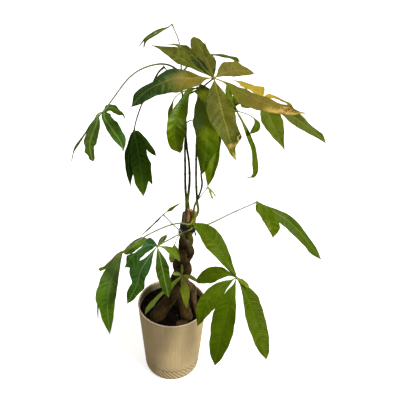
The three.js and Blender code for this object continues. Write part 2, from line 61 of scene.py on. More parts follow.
def evenTurns(count):
    # angles spread evenly over one turn
    return np.linspace(0, 2 * np.pi, count, endpoint=False)


def within(band, value):
    # 1 inside a band: it rises between the band's first two values and falls between its last two
    return smoothStep(*band[:2], value) * (1 - smoothStep(*band[2:], value))


def uneven(around, ahead, seed, waves=7, turns=6, rate=0.05):
    # a sum of sine waves, weaker the finer they are, each with a whole number of turns round and its own rate
    # along
    draw = np.random.default_rng(seed)
    total = 0
    for wave in range(waves):
        whole = draw.integers(1, turns + 1)
        total = total + np.sin(
            whole * around + draw.uniform(-rate, rate) * ahead + draw.uniform(0, 2 * np.pi)
        ) / np.sqrt(whole)
    return total / np.sqrt(waves)


def alongKnots(knots, x):
    # value at x on a line through [x, y] knots
    return np.interp(x, [knot[0] for knot in knots], [knot[1] for knot in knots])


def smoothPath(points, count):
    # a cubic between each two points, its slopes taken from their neighbours with knots spaced by the root of
    # their distance, then places at even lengths along the whole
    points = np.array(points, float)
    ends = np.vstack([2 * points[0] - points[1], points, 2 * points[-1] - points[-2]])
    knots = np.sqrt(np.linalg.norm(np.diff(ends, axis=0), axis=1))[:, None]
    before, span, after = knots[:-2], knots[1:-1], knots[2:]
    a, b, c, d = ends[:-3], ends[1:-2], ends[2:-1], ends[3:]
    slopeIn = span * ((b - a) / before - (c - a) / (before + span) + (c - b) / span)
    slopeOut = span * ((c - b) / span - (d - b) / (span + after) + (d - c) / after)
    t = np.linspace(0, 1, 40, endpoint=False)[None, :, None]
    cubic = b[:, None] + slopeIn[:, None] * t
    cubic = cubic + (3 * (c - b) - 2 * slopeIn - slopeOut)[:, None] * t**2
    cubic = cubic + (2 * (b - c) + slopeIn + slopeOut)[:, None] * t**3
    dense = np.vstack([cubic.reshape(-1, 3), points[-1:]])
    return atLengths(dense, count)


def lengthsOf(path):
    return np.concatenate([[0], np.cumsum(np.linalg.norm(np.diff(path, axis=0), axis=1))])


def atLengths(path, count):
    # the path's places at even lengths
    passed = lengthsOf(path)
    even = np.linspace(0, passed[-1], count)
    return np.stack([np.interp(even, passed, path[:, axis]) for axis in range(3)], axis=1)


def squareTo(path):
    # the path's direction at each place, and two directions square to it and to each other
    ahead = unit(np.gradient(path, axis=0))
    axes = np.eye(3)
    steady = axes[np.argmin(np.abs(ahead @ axes.T).max(axis=0))]
    side = unit(np.cross(steady, ahead))
    return ahead, side, np.cross(ahead, side)


def skin(grid, material=0, values=None, looped=False):
    # faces over a grid of rings that run anticlockwise about the way they follow: closed round, and closed at
    # both ends by a pole in the middle of the ring, or joined end to end when looped
    rings, around = grid.shape[:2]
    index = np.arange(rings * around).reshape(rings, around)
    near = index if looped else index[:-1]
    far = np.roll(index, -1, axis=0) if looped else index[1:]
    quads = np.stack([near, np.roll(near, -1, 1), np.roll(far, -1, 1), far], axis=-1).reshape(-1, 4)
    verts = grid.reshape(-1, 3)
    tris = np.zeros((0, 3), int)
    fields = {name: np.broadcast_to(value, (rings, around)).ravel() for name, value in (values or {}).items()}
    if not looped:
        poles = rings * around
        first, last = index[0], index[-1]
        start = np.stack([np.full(around, poles), np.roll(first, -1), first], axis=-1)
        end = np.stack([np.full(around, poles + 1), last, np.roll(last, -1)], axis=-1)
        tris = np.vstack([start, end])
        verts = np.vstack([verts, grid[0].mean(axis=0), grid[-1].mean(axis=0)])
        fields = {name: np.append(value, [value[0], value[-1]]) for name, value in fields.items()}
    return {"verts": verts, "quads": quads, "tris": tris, "material": material, "values": fields}


def ringsRound(path, reach, angle):
    # rings square to a path, each vertex at its reach and angle, with the path's directions and the ways out
    ahead, side, other = squareTo(path)
    ways = np.cos(angle)[..., None] * side[:, None] + np.sin(angle)[..., None] * other[:, None]
    return path[:, None] + reach[..., None] * ways, ahead, ways


def tube(path, radius, around=12, material=0, values=None, wave=0):
    # rings of the given radius square to a path, closed flat at both ends; wave is added to the radius
    reach = np.broadcast_to(np.reshape(radius, (-1, 1)), (len(path), around)) + wave
    return skin(ringsRound(path, reach, evenTurns(around)[None, :])[0], material, values)


def ball(centre, radii, rows=14, around=20, material=0, values=None, wave=0):
    # a globe drawn from its lower pole to its upper one, its surface uneven by a share of its radii
    angle = np.linspace(-np.pi / 2, np.pi / 2, rows + 2)[1:-1, None]
    turn = evenTurns(around)[None, :]
    grow = 1 + wave * uneven(turn, angle * 20, seed=5)
    shape = [np.cos(angle) * np.cos(turn), np.cos(angle) * np.sin(turn), np.sin(angle) + 0 * turn]
    grid = np.stack([s * grow * r + c for s, r, c in zip(shape, radii, centre)], axis=-1)
    return skin(grid, material, values)


def meshOf(name, parts):
    # one mesh from all the parts: their vertices, four- and three-sided faces, and each face's material
    mesh = bpy.data.meshes.new(name)
    starts = np.cumsum([0] + [len(part["verts"]) for part in parts])
    verts = np.concatenate([part["verts"] for part in parts]) * metre
    corners, sizes, owners = [], [], []
    for part, start in zip(parts, starts):
        for faces in (part["quads"], part["tris"]):
            corners.append((faces + start).ravel())
            sizes.append(np.full(len(faces), faces.shape[1]))
            owners.append(np.full(len(faces), part["material"]))
    corners, sizes, owners = np.concatenate(corners), np.concatenate(sizes), np.concatenate(owners)
    mesh.vertices.add(len(verts))
    mesh.vertices.foreach_set("co", verts.astype(np.float32).ravel())
    mesh.loops.add(len(corners))
    mesh.loops.foreach_set("vertex_index", corners.astype(np.int32))
    mesh.polygons.add(len(sizes))
    mesh.polygons.foreach_set("loop_start", (np.cumsum(sizes) - sizes).astype(np.int32))
    mesh.polygons.foreach_set("material_index", owners.astype(np.int32))
    mesh.polygons.foreach_set("use_smooth", np.ones(len(sizes), bool))
    mesh.update(calc_edges=True)
    mesh.validate()
    return mesh


def setField(mesh, field, value):
    # a number for each vertex, which a material reads by its name
    mesh.attributes.new(field, "FLOAT", "POINT").data.foreach_set("value", value.astype(np.float32))


def addObject(name, data):
    thing = bpy.data.objects.new(name, data)
    bpy.context.scene.collection.objects.link(thing)
    return thing


def makePiece(name, parts, materials, replaced):
    # one object from all the parts and their attributes, fixed to the root body in place of a CAD node
    mesh = meshOf(name, parts)
    for field in sorted({field for part in parts for field in part["values"]}):
        value = np.concatenate([part["values"].get(field, np.zeros(len(part["verts"]))) for part in parts])
        setField(mesh, field, value)
    mesh.set_sharp_from_angle(angle=np.radians(sharpFrom))
    for material in materials:
        mesh.materials.append(material)
    piece = addObject(name, mesh)
    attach(piece, "root")
    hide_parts(replaced)
    return piece


# The photograph's viewpoint, which also places the foliage: pixel x, pixel y and depth in mm along Y

view = {"eye": (0, -960, 1130), "yaw": 3.2, "pitch": 34.6, "roll": 1.9, "focal": 600, "middle": 200}
eye = np.array(view["eye"], float)
yaw, pitch, roll = np.radians([view["yaw"], view["pitch"], view["roll"]])
viewAhead = np.array([np.sin(yaw) * np.cos(pitch), np.cos(yaw) * np.cos(pitch), -np.sin(pitch)])
levelRight = unit(np.cross(viewAhead, (0, 0, 1)))
viewRight = levelRight * np.cos(roll) + np.cross(levelRight, viewAhead) * np.sin(roll)
viewUp = np.cross(viewRight, viewAhead)


def seen(place):
    # the point that a pixel shows at a given depth
    x, y, depth = place
    ray = viewAhead * view["focal"] + viewRight * (x - view["middle"]) + viewUp * (view["middle"] - y)
    return eye + ray * (depth - eye[1]) / ray[1]


# Materials. By number, a Mix node of colours takes its share at 0 and its two colours at 6 and 7 and gives
# output 2, and a MapRange node takes a value, its lowest and highest, and what these two become at 0 to 4.

colourMix = {"data_type": "RGBA"}
smooth = {"interpolation_type": "SMOOTHSTEP"}
times = {"operation": "MULTIPLY"}
plus = {"operation": "ADD"}


def hexToLinear(code):
    # an sRGB hex value as linear red, green, blue and an alpha of 1
    levels = np.array([int(code[i:i + 2], 16) for i in (1, 3, 5)]) / 255
    linear = np.where(levels <= 0.04045, levels / 12.92, ((levels + 0.055) / 1.055) ** 2.4)
    return (*linear, 1.0)


def addNode(tree, kind, output, inputs=None, stops=None, **settings):
    # adds a node with its settings, a value or a link for each input, and a ramp's stops; gives one output
    node = tree.nodes.new("ShaderNode" + kind)
    for name, value in settings.items():
        setattr(node, name, value)
    for name, value in (inputs or {}).items():
        if isinstance(value, bpy.types.NodeSocket):
            tree.links.new(value, node.inputs[name])
        elif isinstance(value, str):
            node.inputs[name].default_value = hexToLinear(value)
        else:
            node.inputs[name].default_value = value
    if stops:
        ramp = node.color_ramp.elements
        while len(ramp) < len(stops):
            ramp.new(1.0)
        for element, (position, code) in zip(ramp, stops):
            element.position = position
            element.color = hexToLinear(code)
    return node.outputs[output] if output is not None else node


def scaleOf(size):
    # the scale that gives a texture grains of a size in mm
    return 1 / (size * metre)


def addShares(tree, total, parts):
    # the total plus each part times its share
    for part, share in parts:
        total = addNode(tree, "Math", 0, {0: part, 1: share, 2: total}, operation="MULTIPLY_ADD")
    return total


def tintMarked(tree, colour, tones):
    # each tone laid over the colour as far as the attribute of that name says
    for title, tone in tones.items():
        mark = addNode(tree, "Attribute", "Fac", attribute_name=title)
        colour = addNode(tree, "Mix", 2, {0: mark, 6: colour, 7: tone}, **colourMix)
    return colour


def newMaterial(name):
    # an empty material, its node tree, and the object's own coordinates as a first node
    material = bpy.data.materials.new(name)
    material.use_nodes = True
    tree = material.node_tree
    tree.nodes.clear()
    return material, tree, addNode(tree, "TexCoord", "Object")


def finishMaterial(tree, inputs, relief=None, bump=(0, 0)):
    # the shader, with the relief standing up from its surface: bump is its strength and its height in mm
    if relief is not None:
        normal = {"Height": relief, "Strength": bump[0], "Distance": bump[1] * metre}
        inputs = {**inputs, "Normal": addNode(tree, "Bump", "Normal", normal)}
    shader = addNode(tree, "BsdfPrincipled", "BSDF", inputs)
    addNode(tree, "OutputMaterial", None, {"Surface": shader})


# Leaf blade: waxy skin over green tissue, half gloss above and duller below, its veins paler than the rest.
# `fresh`, `mid` and `deep` are its greens from light to dark, and age turns it olive, mustard and yellow.
# a bluish mix paints a sheen of reflected sky on most leaflets and a pale grey-green tint on a few
leafLooks = {
    "leaf_fading": {
        "fresh": "#70760e", "mid": "#565c0a", "deep": "#223606", "vein": "#8d8434",
        "gloss": 0.5, "specular": 0.12, "mottling": 1.0,
    },
    "leaf_mature": {
        "fresh": "#748a08", "mid": "#4c6200", "deep": "#324a00", "vein": "#7b8c2a",
        "gloss": 0.48, "specular": 0.08, "mottling": 0.4,
    },
    "leaf_dark": {
        "fresh": "#66860c", "mid": "#44660a", "deep": "#1c4400", "vein": "#7c9650",
        "gloss": 0.45, "specular": 0.12, "mottling": 0.4,
    },
    "leaf_young": {
        "fresh": "#9cae1e", "mid": "#6c7a24", "deep": "#4c582a", "vein": "#a4b24c",
        "gloss": 0.55, "specular": 0.2, "mottling": 0.5,
    },
}
leafSkin = {"blotch": 22, "mottle": 5, "cell": 2.6, "bumpDepth": 0.5, "under": "#6d7a40"}
leafMarks = ("depth", "yellowing", "cool", "dryness", "veinPhase", "veinShow", "veinDepth", "bandShow",
             "ribDistance", "ribShow", "underside")


def leafMaterial(name, look):
    material, tree, place = newMaterial(name)
    mark = {title: addNode(tree, "Attribute", "Fac", attribute_name=title) for title in leafMarks}

    # clouds about 0, coarse and fine, and for each band between two lateral veins a tone of its own
    clouds = []
    for size, detail in ((leafSkin["blotch"], 3.0), (leafSkin["mottle"], 4.0)):
        grain = {"Vector": place, "Scale": scaleOf(size), "Detail": detail, "Roughness": 0.55}
        cloud = addNode(tree, "TexNoise", "Fac", grain)
        clouds.append(addShares(tree, -0.5 * look["mottling"], [(cloud, look["mottling"])]))
    blotch, mottle = clouds
    band = addNode(tree, "TexNoise", "Fac", {"W": mark["veinPhase"], "Scale": 0.9, "Detail": 3.0},
                   noise_dimensions="1D")
    band = addNode(tree, "Math", 0, {0: band, 1: 0.5}, operation="SUBTRACT")
    band = addNode(tree, "Math", 0, {0: band, 1: mark["bandShow"]}, **times)
    depth = addShares(tree, mark["depth"], [(blotch, 1.0), (mottle, 0.45), (band, 1.0)])
    age = addShares(tree, mark["yellowing"], [(blotch, 0.35), (band, -0.4)])
    dryness = addShares(tree, mark["dryness"], [(mottle, 0.5)])
    light = addShares(tree, mottle, [(blotch, 0.6)])
    # how near the phase is to a whole number, where the lateral veins lie
    nearVein = addNode(tree, "Math", 0, {0: mark["veinPhase"], 1: 0.5}, operation="PINGPONG")

    # each of these turns smoothly from 0 to 1, or between its last two numbers
    limits = {
        "aging": (age, 0.08, 0.5), "cooling": (mark["cool"], 0.0, 1.0), "drying": (dryness, 0.36, 0.6),
        "line": (nearVein, 0.14, 0.0), "shown": (mottle, -0.1, 0.1, 0.35, 1.0),
        "rib": (mark["ribDistance"], 0.5, 1.7, 1.0, 0.0), "tone": (light, -0.3, 0.3, 1.12, 0.86),
    }
    share = {title: addNode(tree, "MapRange", 0, dict(enumerate(limit)), **smooth)
             for title, limit in limits.items()}
    products = {
        "vein": (share["line"], share["shown"]), "rib": (share["rib"], mark["ribShow"]),
        "under": (mark["underside"], 0.5), "sunk": (share["line"], mark["veinDepth"]),
    }
    shown = {title: addNode(tree, "Math", 0, dict(enumerate(pair)), **times)
             for title, pair in products.items()}
    vein = addNode(tree, "Math", 0, {0: shown["vein"], 1: mark["veinShow"]}, **times)

    # dried tissue is papery, tan with darker brown
    ramps = {
        "green": (depth, [(0.0, look["fresh"]), (0.5, look["mid"]), (1.0, look["deep"])]),
        "aged": (age, [(0.3, "#59591a"), (0.7, "#786822"), (1.0, "#c9a92c")]),
        "bluish": (depth, [(0.0, "#7c9a62"), (0.5, "#3c6436"), (1.0, "#163a16")]),
        "papery": (dryness, [(0.35, "#8f8424"), (0.58, "#c2a45a"), (0.76, "#8a6c30"), (0.94, "#4a3616")]),
    }
    ramp = {title: addNode(tree, "ValToRGB", "Color", {"Fac": value}, stops)
            for title, (value, stops) in ramps.items()}
    colour = ramp["green"]
    # the bluish ramp, mixed by the cool mark, is painted sheen of reflected sky, and on a few leaflets a pale
    # tint
    for amount, tone in (
        (share["aging"], ramp["aged"]), (share["cooling"], ramp["bluish"]), (vein, look["vein"]),
        (shown["rib"], look["vein"]), (shown["under"], leafSkin["under"]), (share["drying"], ramp["papery"]),
    ):
        colour = addNode(tree, "Mix", 2, {0: amount, 6: colour, 7: tone}, **colourMix)
    colour = addNode(tree, "HueSaturation", "Color", {"Value": share["tone"], "Color": colour})

    cells = addNode(tree, "TexVoronoi", "Distance", {"Vector": place, "Scale": scaleOf(leafSkin["cell"])},
                    feature="DISTANCE_TO_EDGE")
    relief = addShares(tree, 0.0, [(cells, 0.5), (mottle, 0.6), (shown["sunk"], -1.0)])
    duller = [(blotch, 0.25), (share["drying"], 0.3), (mark["underside"], 0.15)]
    rough = addShares(tree, look["gloss"], duller)
    finishMaterial(tree, {"Base Color": colour, "Roughness": rough, "IOR": 1.45,
                          "Specular IOR Level": look["specular"]}, relief, (0.4, leafSkin["bumpDepth"]))
    return material


# Bark of young Pachira: thin grey-brown cork over green, cracked along the stem. `low` and `high` are the
# heights between which its lower colours turn to its upper ones; `sawn` wood shows at the cut top. The foot
# is lightened as painted light: below its first height the colour is as much lighter as its third number
# says.
barkLooks = {
    "bark_right": {
        "lower": ("#241808", "#6e5638"), "upper": ("#3e3e10", "#8c8628"), "low": 340, "high": 415,
        "sawn": "#8f8c4e",
    },
    "bark_middle": {
        "lower": ("#1e1606", "#5e4a28"), "upper": ("#38381c", "#74745a"), "low": 370, "high": 392,
        "sawn": "#716c50",
    },
    "bark_left": {
        "lower": ("#1e1404", "#5a4624"), "upper": ("#7a5020", "#b8905c"), "low": 398, "high": 428,
        "sawn": "#b48a62",
    },
}
barkGrain = {"width": 3.2, "length": 16, "patch": 18, "speck": 1.6, "bumpDepth": 1.4, "knot": "#1c130b",
             "litFoot": (180, 245, 1.5)}


def barkMaterial(name, look):
    material, tree, place = newMaterial(name)
    height = addNode(tree, "SeparateXYZ", "Z", {0: place})
    stretched = {"Vector": place, "Scale": (1.0, 1.0, barkGrain["width"] / barkGrain["length"])}
    grainPlace = addNode(tree, "Mapping", "Vector", stretched)
    grain = addNode(tree, "TexNoise", "Fac", {"Vector": grainPlace, "Scale": scaleOf(barkGrain["width"]),
                                              "Detail": 5.0, "Roughness": 0.62, "Distortion": 0.6})
    patch = addNode(tree, "TexNoise", "Fac", {"Vector": place, "Scale": scaleOf(barkGrain["patch"]),
                                              "Detail": 3.0})
    speck = addNode(tree, "TexVoronoi", "Distance", {"Vector": place, "Scale": scaleOf(barkGrain["speck"])})
    tint = addNode(tree, "Math", 0, {0: grain, 1: patch}, **times)
    tint = addNode(tree, "MapRange", 0, {0: tint, 1: 0.12, 2: 0.42})
    lower, upper = [addNode(tree, "Mix", 2, {0: tint, 6: look[part][0], 7: look[part][1]}, **colourMix)
                    for part in ("lower", "upper")]
    rise = addNode(tree, "MapRange", 0, {0: height, 1: look["low"] * metre, 2: look["high"] * metre})
    colour = addNode(tree, "Mix", 2, {0: rise, 6: lower, 7: upper}, **colourMix)
    # painted light: the foot of each sapling is lightened towards the soil
    low, high, tone = barkGrain["litFoot"]
    litFoot = addNode(tree, "MapRange", 0, {0: height, 1: low * metre, 2: high * metre, 3: tone})
    colour = addNode(tree, "HueSaturation", "Color", {"Value": litFoot, "Color": colour})
    colour = tintMarked(tree, colour, {"knot": barkGrain["knot"], "sawn": look["sawn"]})
    relief = addNode(tree, "Math", 0, {0: grain, 1: speck}, **plus)
    rough = addNode(tree, "MapRange", 0, {0: patch, 1: 0.3, 2: 0.7, 3: 0.72, 4: 0.92})
    finishMaterial(tree, {"Base Color": colour, "Roughness": rough, "Specular IOR Level": 0.15},
                   relief, (0.45, barkGrain["bumpDepth"]))
    return material


# Green shoots and leaf stalks: smooth young skin, dark olive to lilac grey, finely uneven
stalkSkin = {"patch": 9, "fine": 0.8, "bumpDepth": 0.3, "green": "#6f7d2c", "gloss": 0.55}


def stalkMaterial(name, dark, light):
    material, tree, place = newMaterial(name)
    patch, fine = [
        addNode(tree, "TexNoise", "Fac", {"Vector": place, "Scale": scaleOf(size), "Detail": detail})
        for size, detail in ((stalkSkin["patch"], 4.0), (stalkSkin["fine"], 2.0))
    ]
    tint = addNode(tree, "MapRange", 0, {0: patch, 1: 0.35, 2: 0.65})
    colour = addNode(tree, "Mix", 2, {0: tint, 6: dark, 7: light}, **colourMix)
    colour = tintMarked(tree, colour, {"green": stalkSkin["green"]})
    gloss = stalkSkin["gloss"]
    rough = addNode(tree, "MapRange", 0, {0: patch, 1: 0.3, 2: 0.7, 3: gloss, 4: gloss + 0.15})
    finishMaterial(tree, {"Base Color": colour, "Roughness": rough, "Specular IOR Level": 0.25},
                   fine, (0.3, stalkSkin["bumpDepth"]))
    return material


# Pot: moulded matte plastic with a wood-flour filler, beige with upright streaks, painted shade in its
# grooves
potSkin = {
    # sunk is the colour of the painted shade, lip of the painted highlight, inside of the painted shade
    # within
    "pale": "#dcc695", "dull": "#cdb485", "sunk": "#5a381e", "inside": "#7a7456", "lip": "#e2cdb2",
    "cloud": 45, "streak": 3, "stretch": 0.06, "speck": 0.7, "bumpDepth": 0.3,
}


def potMaterial():
    material, tree, place = newMaterial("moulded_matte_plastic")
    upright = addNode(tree, "Mapping", "Vector", {"Vector": place, "Scale": (1.0, 1.0, potSkin["stretch"])})
    cloud, streak, speck = [
        addNode(tree, "TexNoise", "Fac", {"Vector": axes, "Scale": scaleOf(potSkin[grain]), "Detail": detail})
        for axes, grain, detail in ((place, "cloud", 4.0), (upright, "streak", 3.0), (place, "speck", 2.0))
    ]
    tint = addNode(tree, "Math", 0, {0: cloud, 1: streak}, **plus)
    tint = addNode(tree, "MapRange", 0, {0: tint, 1: 0.75, 2: 1.25})
    colour = addNode(tree, "Mix", 2, {0: tint, 6: potSkin["dull"], 7: potSkin["pale"]}, **colourMix)
    colour = tintMarked(tree, colour, {title: potSkin[title] for title in ("sunk", "inside", "lip")})
    relief = addNode(tree, "Math", 0, {0: streak, 1: speck}, **plus)
    rough = addNode(tree, "MapRange", 0, {0: cloud, 1: 0.3, 2: 0.7, 3: 0.52, 4: 0.68})
    finishMaterial(tree, {"Base Color": colour, "Roughness": rough, "IOR": 1.49},
                   relief, (0.15, potSkin["bumpDepth"]))
    return material


# Potting soil: damp peat, nearly black, with lighter bark crumbs and a few white grains of perlite
soilGrain = {
    "clod": 6, "grit": 2.2, "bumpDepth": 1.5,
    "peat": [(0.35, "#040201"), (0.55, "#0f0804"), (0.8, "#22150b")],
    "crumb": [(0.0, "#070302"), (0.5, "#2c1c10"), (1.0, "#8d897e")],
}


def soilMaterial():
    material, tree, place = newMaterial("damp_potting_soil")
    clod = addNode(tree, "TexNoise", "Fac", {"Vector": place, "Scale": scaleOf(soilGrain["clod"]),
                                             "Detail": 6.0})
    grit = addNode(tree, "TexVoronoi", "Distance", {"Vector": place, "Scale": scaleOf(soilGrain["grit"])})
    colour = addNode(tree, "ValToRGB", "Color", {"Fac": clod}, soilGrain["peat"])
    pale = addNode(tree, "Attribute", "Fac", attribute_name="pale")
    crumb = addNode(tree, "ValToRGB", "Color", {"Fac": pale}, soilGrain["crumb"])
    colour = tintMarked(tree, colour, {"crumb": crumb})
    relief = addNode(tree, "Math", 0, {0: clod, 1: grit}, **plus)
    rough = addNode(tree, "MapRange", 0, {0: clod, 1: 0.3, 2: 0.7, 3: 0.7, 4: 0.95})
    finishMaterial(tree, {"Base Color": colour, "Roughness": rough, "Specular IOR Level": 0.1},
                   relief, (0.9, soilGrain["bumpDepth"]))
    return material


# Tie: woven polyester tape, navy, with a ribbed face that catches a little light
tieWeave = {"weft": 6.0, "warp": 5.0, "turned": (0.0, 0.1, 0.4), "bumpDepth": 0.3, "dark": "#0a0c16",
            "light": "#1c2238"}


def tieMaterial():
    material, tree, place = newMaterial("woven_polyester_tape")
    turned = addNode(tree, "Mapping", "Vector", {"Vector": place, "Rotation": tieWeave["turned"]})
    weft, warp = [
        addNode(tree, "TexWave", "Fac", {"Vector": turned, "Scale": scaleOf(tieWeave[thread]),
                                         "Distortion": 0.4}, bands_direction=way)
        for thread, way in (("weft", "Z"), ("warp", "X"))
    ]
    weave = addNode(tree, "Math", 0, {0: weft, 1: warp}, **times)
    colour = addNode(tree, "Mix", 2, {0: weave, 6: tieWeave["dark"], 7: tieWeave["light"]}, **colourMix)
    rough = addNode(tree, "MapRange", 0, {0: weave, 3: 0.6, 4: 0.75})
    finishMaterial(tree, {"Base Color": colour, "Roughness": rough}, weave, (0.6, tieWeave["bumpDepth"]))
    return material


leafMaterials = {name: leafMaterial(name + "_blade", look) for name, look in leafLooks.items()}
barkMaterials = {name: barkMaterial(name, look) for name, look in barkLooks.items()}
stemMaterial = stalkMaterial("green_shoot_skin", "#26240e", "#4c4a22")
petioleMaterial = stalkMaterial("leaf_stalk_skin", "#67655a", "#94928a")
print("materials ready")


# Pot: a rounded foot with slanting grooves, a groove round it, a straight tapered wall and a rolled lip

potHigh = np.array(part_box("pot")[1]) / metre
pot = {
    "height": potHigh[2], "lipBulge": 0.4, "footRadius": 62, "footRound": 16, "wall": 3, "floor": 4,
    "lipRadius": 1.5, "lipJoin": 6, "hubRadius": 4, "grooveHeight": 36, "grooveWidth": 3, "grooveDepth": 0.9,
    "flutes": 38, "fluteDepth": 1.6, "fluteSlant": 0.85, "fluteBand": (2, 6, 30, 50),
    # the darkening towards the foot and in the flutes and groove, set below, is painted shade
    "ribs": 150, "ribDepth": 0.05, "ribBand": (50, 60, 150, 186), "footShade": (10, 100, 0.18),
    "grooveShade": 0.65, "grooveShadeVaries": 0.35, "fluteShade": 0.9, "lipEnds": (1.2, 2.4), "insideStarts": (2, 4),
    "drainRadius": 5, "drainCircle": 28, "drainHoles": 4, "drill": (-4, 10), "around": 480,
    "rows": {"floor": 12, "foot": 14, "wall": 110, "lip": 19, "inside": 30},
}
pot["rimRadius"] = potHigh[0] - pot["lipBulge"]
potTaper = (pot["rimRadius"] - pot["footRadius"]) / (pot["height"] - pot["footRound"])


def potOuter(height):
    return pot["footRadius"] + potTaper * (height - pot["footRound"])


def potProfile():
    # radius and height from the middle of the underside, round the foot, up, over the lip and down the inside
    rows, foot, high, lipRadius = pot["rows"], pot["footRound"], pot["height"], pot["lipRadius"]
    quarter = np.linspace(0, np.pi / 2, rows["foot"])
    wall = np.linspace(foot + 1, high - 2 * lipRadius, rows["wall"])
    lip = np.radians(np.linspace(-45, 225, rows["lip"]))
    join = high - pot["lipJoin"]
    inner = foot - pot["wall"]
    innerFoot = potOuter(pot["floor"] + inner) - pot["wall"]
    back = quarter[::-1][1:]
    floor = np.linspace(innerFoot - inner, pot["hubRadius"], rows["floor"])[1:]
    stretches = [
        (np.linspace(pot["hubRadius"], pot["footRadius"] - foot, rows["floor"]), np.zeros(rows["floor"])),
        (pot["footRadius"] - foot * (1 - np.sin(quarter[1:])), foot * (1 - np.cos(quarter[1:]))),
        (potOuter(wall), wall),
        (pot["rimRadius"] + pot["lipBulge"] - lipRadius * (1 - np.cos(lip)),
         high - lipRadius * (1 - np.sin(lip))),
        (np.linspace(potOuter(join), innerFoot + pot["wall"], rows["inside"]) - pot["wall"],
         np.linspace(join, pot["floor"] + inner, rows["inside"])),
        (innerFoot - inner * (1 - np.sin(back)), pot["floor"] + inner * (1 - np.cos(back))),
        (floor, np.full(len(floor), pot["floor"])),
    ]
    return np.hstack(stretches).T


def outerAt(height):
    # radius of the outside at a height, with the quarter round of the foot
    low = np.clip(1 - height / pot["footRound"], 0, 1)
    return potOuter(np.maximum(height, pot["footRound"])) - pot["footRound"] * (1 - np.sqrt(1 - low**2))


def fluting(turn, height):
    # slanting troughs round the foot, deepest below the groove: a squared cosine of the turn, which shifts
    # with the height
    slanted = pot["flutes"] * (turn + pot["fluteSlant"] * height / pot["footRadius"])
    return np.clip(np.cos(slanted), 0, 1) ** 2 * within(pot["fluteBand"], height)


def grooving(height):
    # 1 in the middle of the groove round the pot, evenly down to 0 at its edges
    return np.clip(1 - np.abs(height - pot["grooveHeight"]) / (pot["grooveWidth"] / 2), 0, 1)


def potPart():
    # the profile turned about Z; flutes and groove are pressed into the outside, fine ribs stand above them
    profile = potProfile()
    radius, height = profile[:, :1], profile[:, 1:]
    rows = pot["rows"]
    outside = (np.arange(len(profile)) < rows["floor"] + rows["foot"] - 1 + rows["wall"])[:, None]
    turn = evenTurns(pot["around"])[None, :]
    pressed = pot["fluteDepth"] * fluting(turn, height) + pot["grooveDepth"] * grooving(height)
    ribbing = pot["ribDepth"] * np.cos(pot["ribs"] * turn) * within(pot["ribBand"], height)
    radius = radius + outside * (ribbing - pressed)
    return skin(np.stack([radius * np.cos(turn), radius * np.sin(turn), height + 0 * turn], axis=-1))


def markPot(mesh):
    # attributes for the material: how deep a point is in a flute or the groove, darkened there as painted
    # shade unevenly round the pot, with painted shade towards the floor; and how much of it is lip or inner
    # wall
    points = np.empty(3 * len(mesh.vertices), np.float32)
    mesh.vertices.foreach_get("co", points)
    x, y, height = points.reshape(-1, 3).T / metre
    turn = np.arctan2(y, x)
    fromTop = pot["height"] - height
    outside = np.hypot(x, y) > outerAt(height) - pot["wall"] / 2
    # painted shade in the flutes and groove, stronger in some places round the pot
    grooveShade = pot["grooveShade"] + pot["grooveShadeVaries"] * np.sin(3 * turn + 0.4)
    # painted shade: the pot darkens towards the floor
    low, high, amount = pot["footShade"]
    shadeAtFoot = amount * (1 - smoothStep(low, high, height))
    sunk = np.maximum(pot["fluteShade"] * fluting(turn, height), grooving(height))
    setField(mesh, "sunk", outside * (shadeAtFoot + grooveShade * sunk))
    # the lip's lighter colour is a painted highlight on the rim
    setField(mesh, "lip", 1 - smoothStep(*pot["lipEnds"], fromTop))
    # the inner wall's darker colour is painted shade
    setField(mesh, "inside", ~outside * smoothStep(*pot["insideStarts"], fromTop))


def makePot():
    # the turned pot with its drain holes cut through the floor, marked for its material afterwards
    piece = makePiece("planter", [potPart()], [potMaterial()], "pot")
    drills = []
    for turn in evenTurns(pot["drainHoles"]) + np.pi / pot["drainHoles"]:
        middle = np.array([np.cos(turn), np.sin(turn), 0]) * pot["drainCircle"]
        drills.append(tube(middle + np.outer(pot["drill"], (0, 0, 1)), pot["drainRadius"], 32))
    drill = addObject("drill", meshOf("drill", drills))
    drill.data.shade_flat()
    cut = piece.modifiers.new("drain", "BOOLEAN")
    cut.object, cut.operation, cut.solver = drill, "DIFFERENCE", "MANIFOLD"
    bpy.context.view_layer.update()
    shaped = bpy.data.meshes.new_from_object(piece.evaluated_get(bpy.context.evaluated_depsgraph_get()))
    markPot(shaped)
    piece.modifiers.clear()
    piece.data = shaped
    bpy.data.objects.remove(drill)
    print("pot:", len(shaped.polygons), "faces")


makePot()


# Soil: fills the pot to a few centimetres below the lip, crowned and lumpy, with crumbs on it

soil = {
    "height": 179, "crown": 4, "edgeDip": 4, "lump": 1.3, "fine": 0.5, "gap": 0.3, "around": 200,
    "smoothFrom": 0.9, "dipFrom": 0.93,
    "rows": {"foot": 8, "wall": 12, "top": 90}, "wallStart": 4, "perlite": 0.03,
    "crumbs": 900, "crumbSize": (0.9, 3.6), "crumbSquash": 0.6, "crumbMargin": 5,
}


def soilLift(x, y):
    # height added to the soil's top: broad lumps and a finer unevenness on them
    lump = np.sin(x / 6.1 + 1) * np.cos(y / 5.3) + 0.6 * np.sin((x + y) / 3.7)
    fine = np.sin(x / 1.9 + 2) * np.sin(y / 2.3) + np.sin((x - y) / 1.3)
    return soil["lump"] * lump + soil["fine"] * fine


def soilSide(height):
    # the soil's radius where it lies against the pot's wall
    return potOuter(height) - pot["wall"] - soil["gap"]


def soilTop(x, y):
    # crowned like a parabola, and dipping where it meets the wall
    share = np.hypot(x, y) / soilSide(soil["height"])
    level = soil["height"] + soil["crown"] * (1 - share**2)
    level = level + soilLift(x, y) * (1 - smoothStep(soil["smoothFrom"], 1, share))
    return level - soil["edgeDip"] * smoothStep(soil["dipFrom"], 1, share)


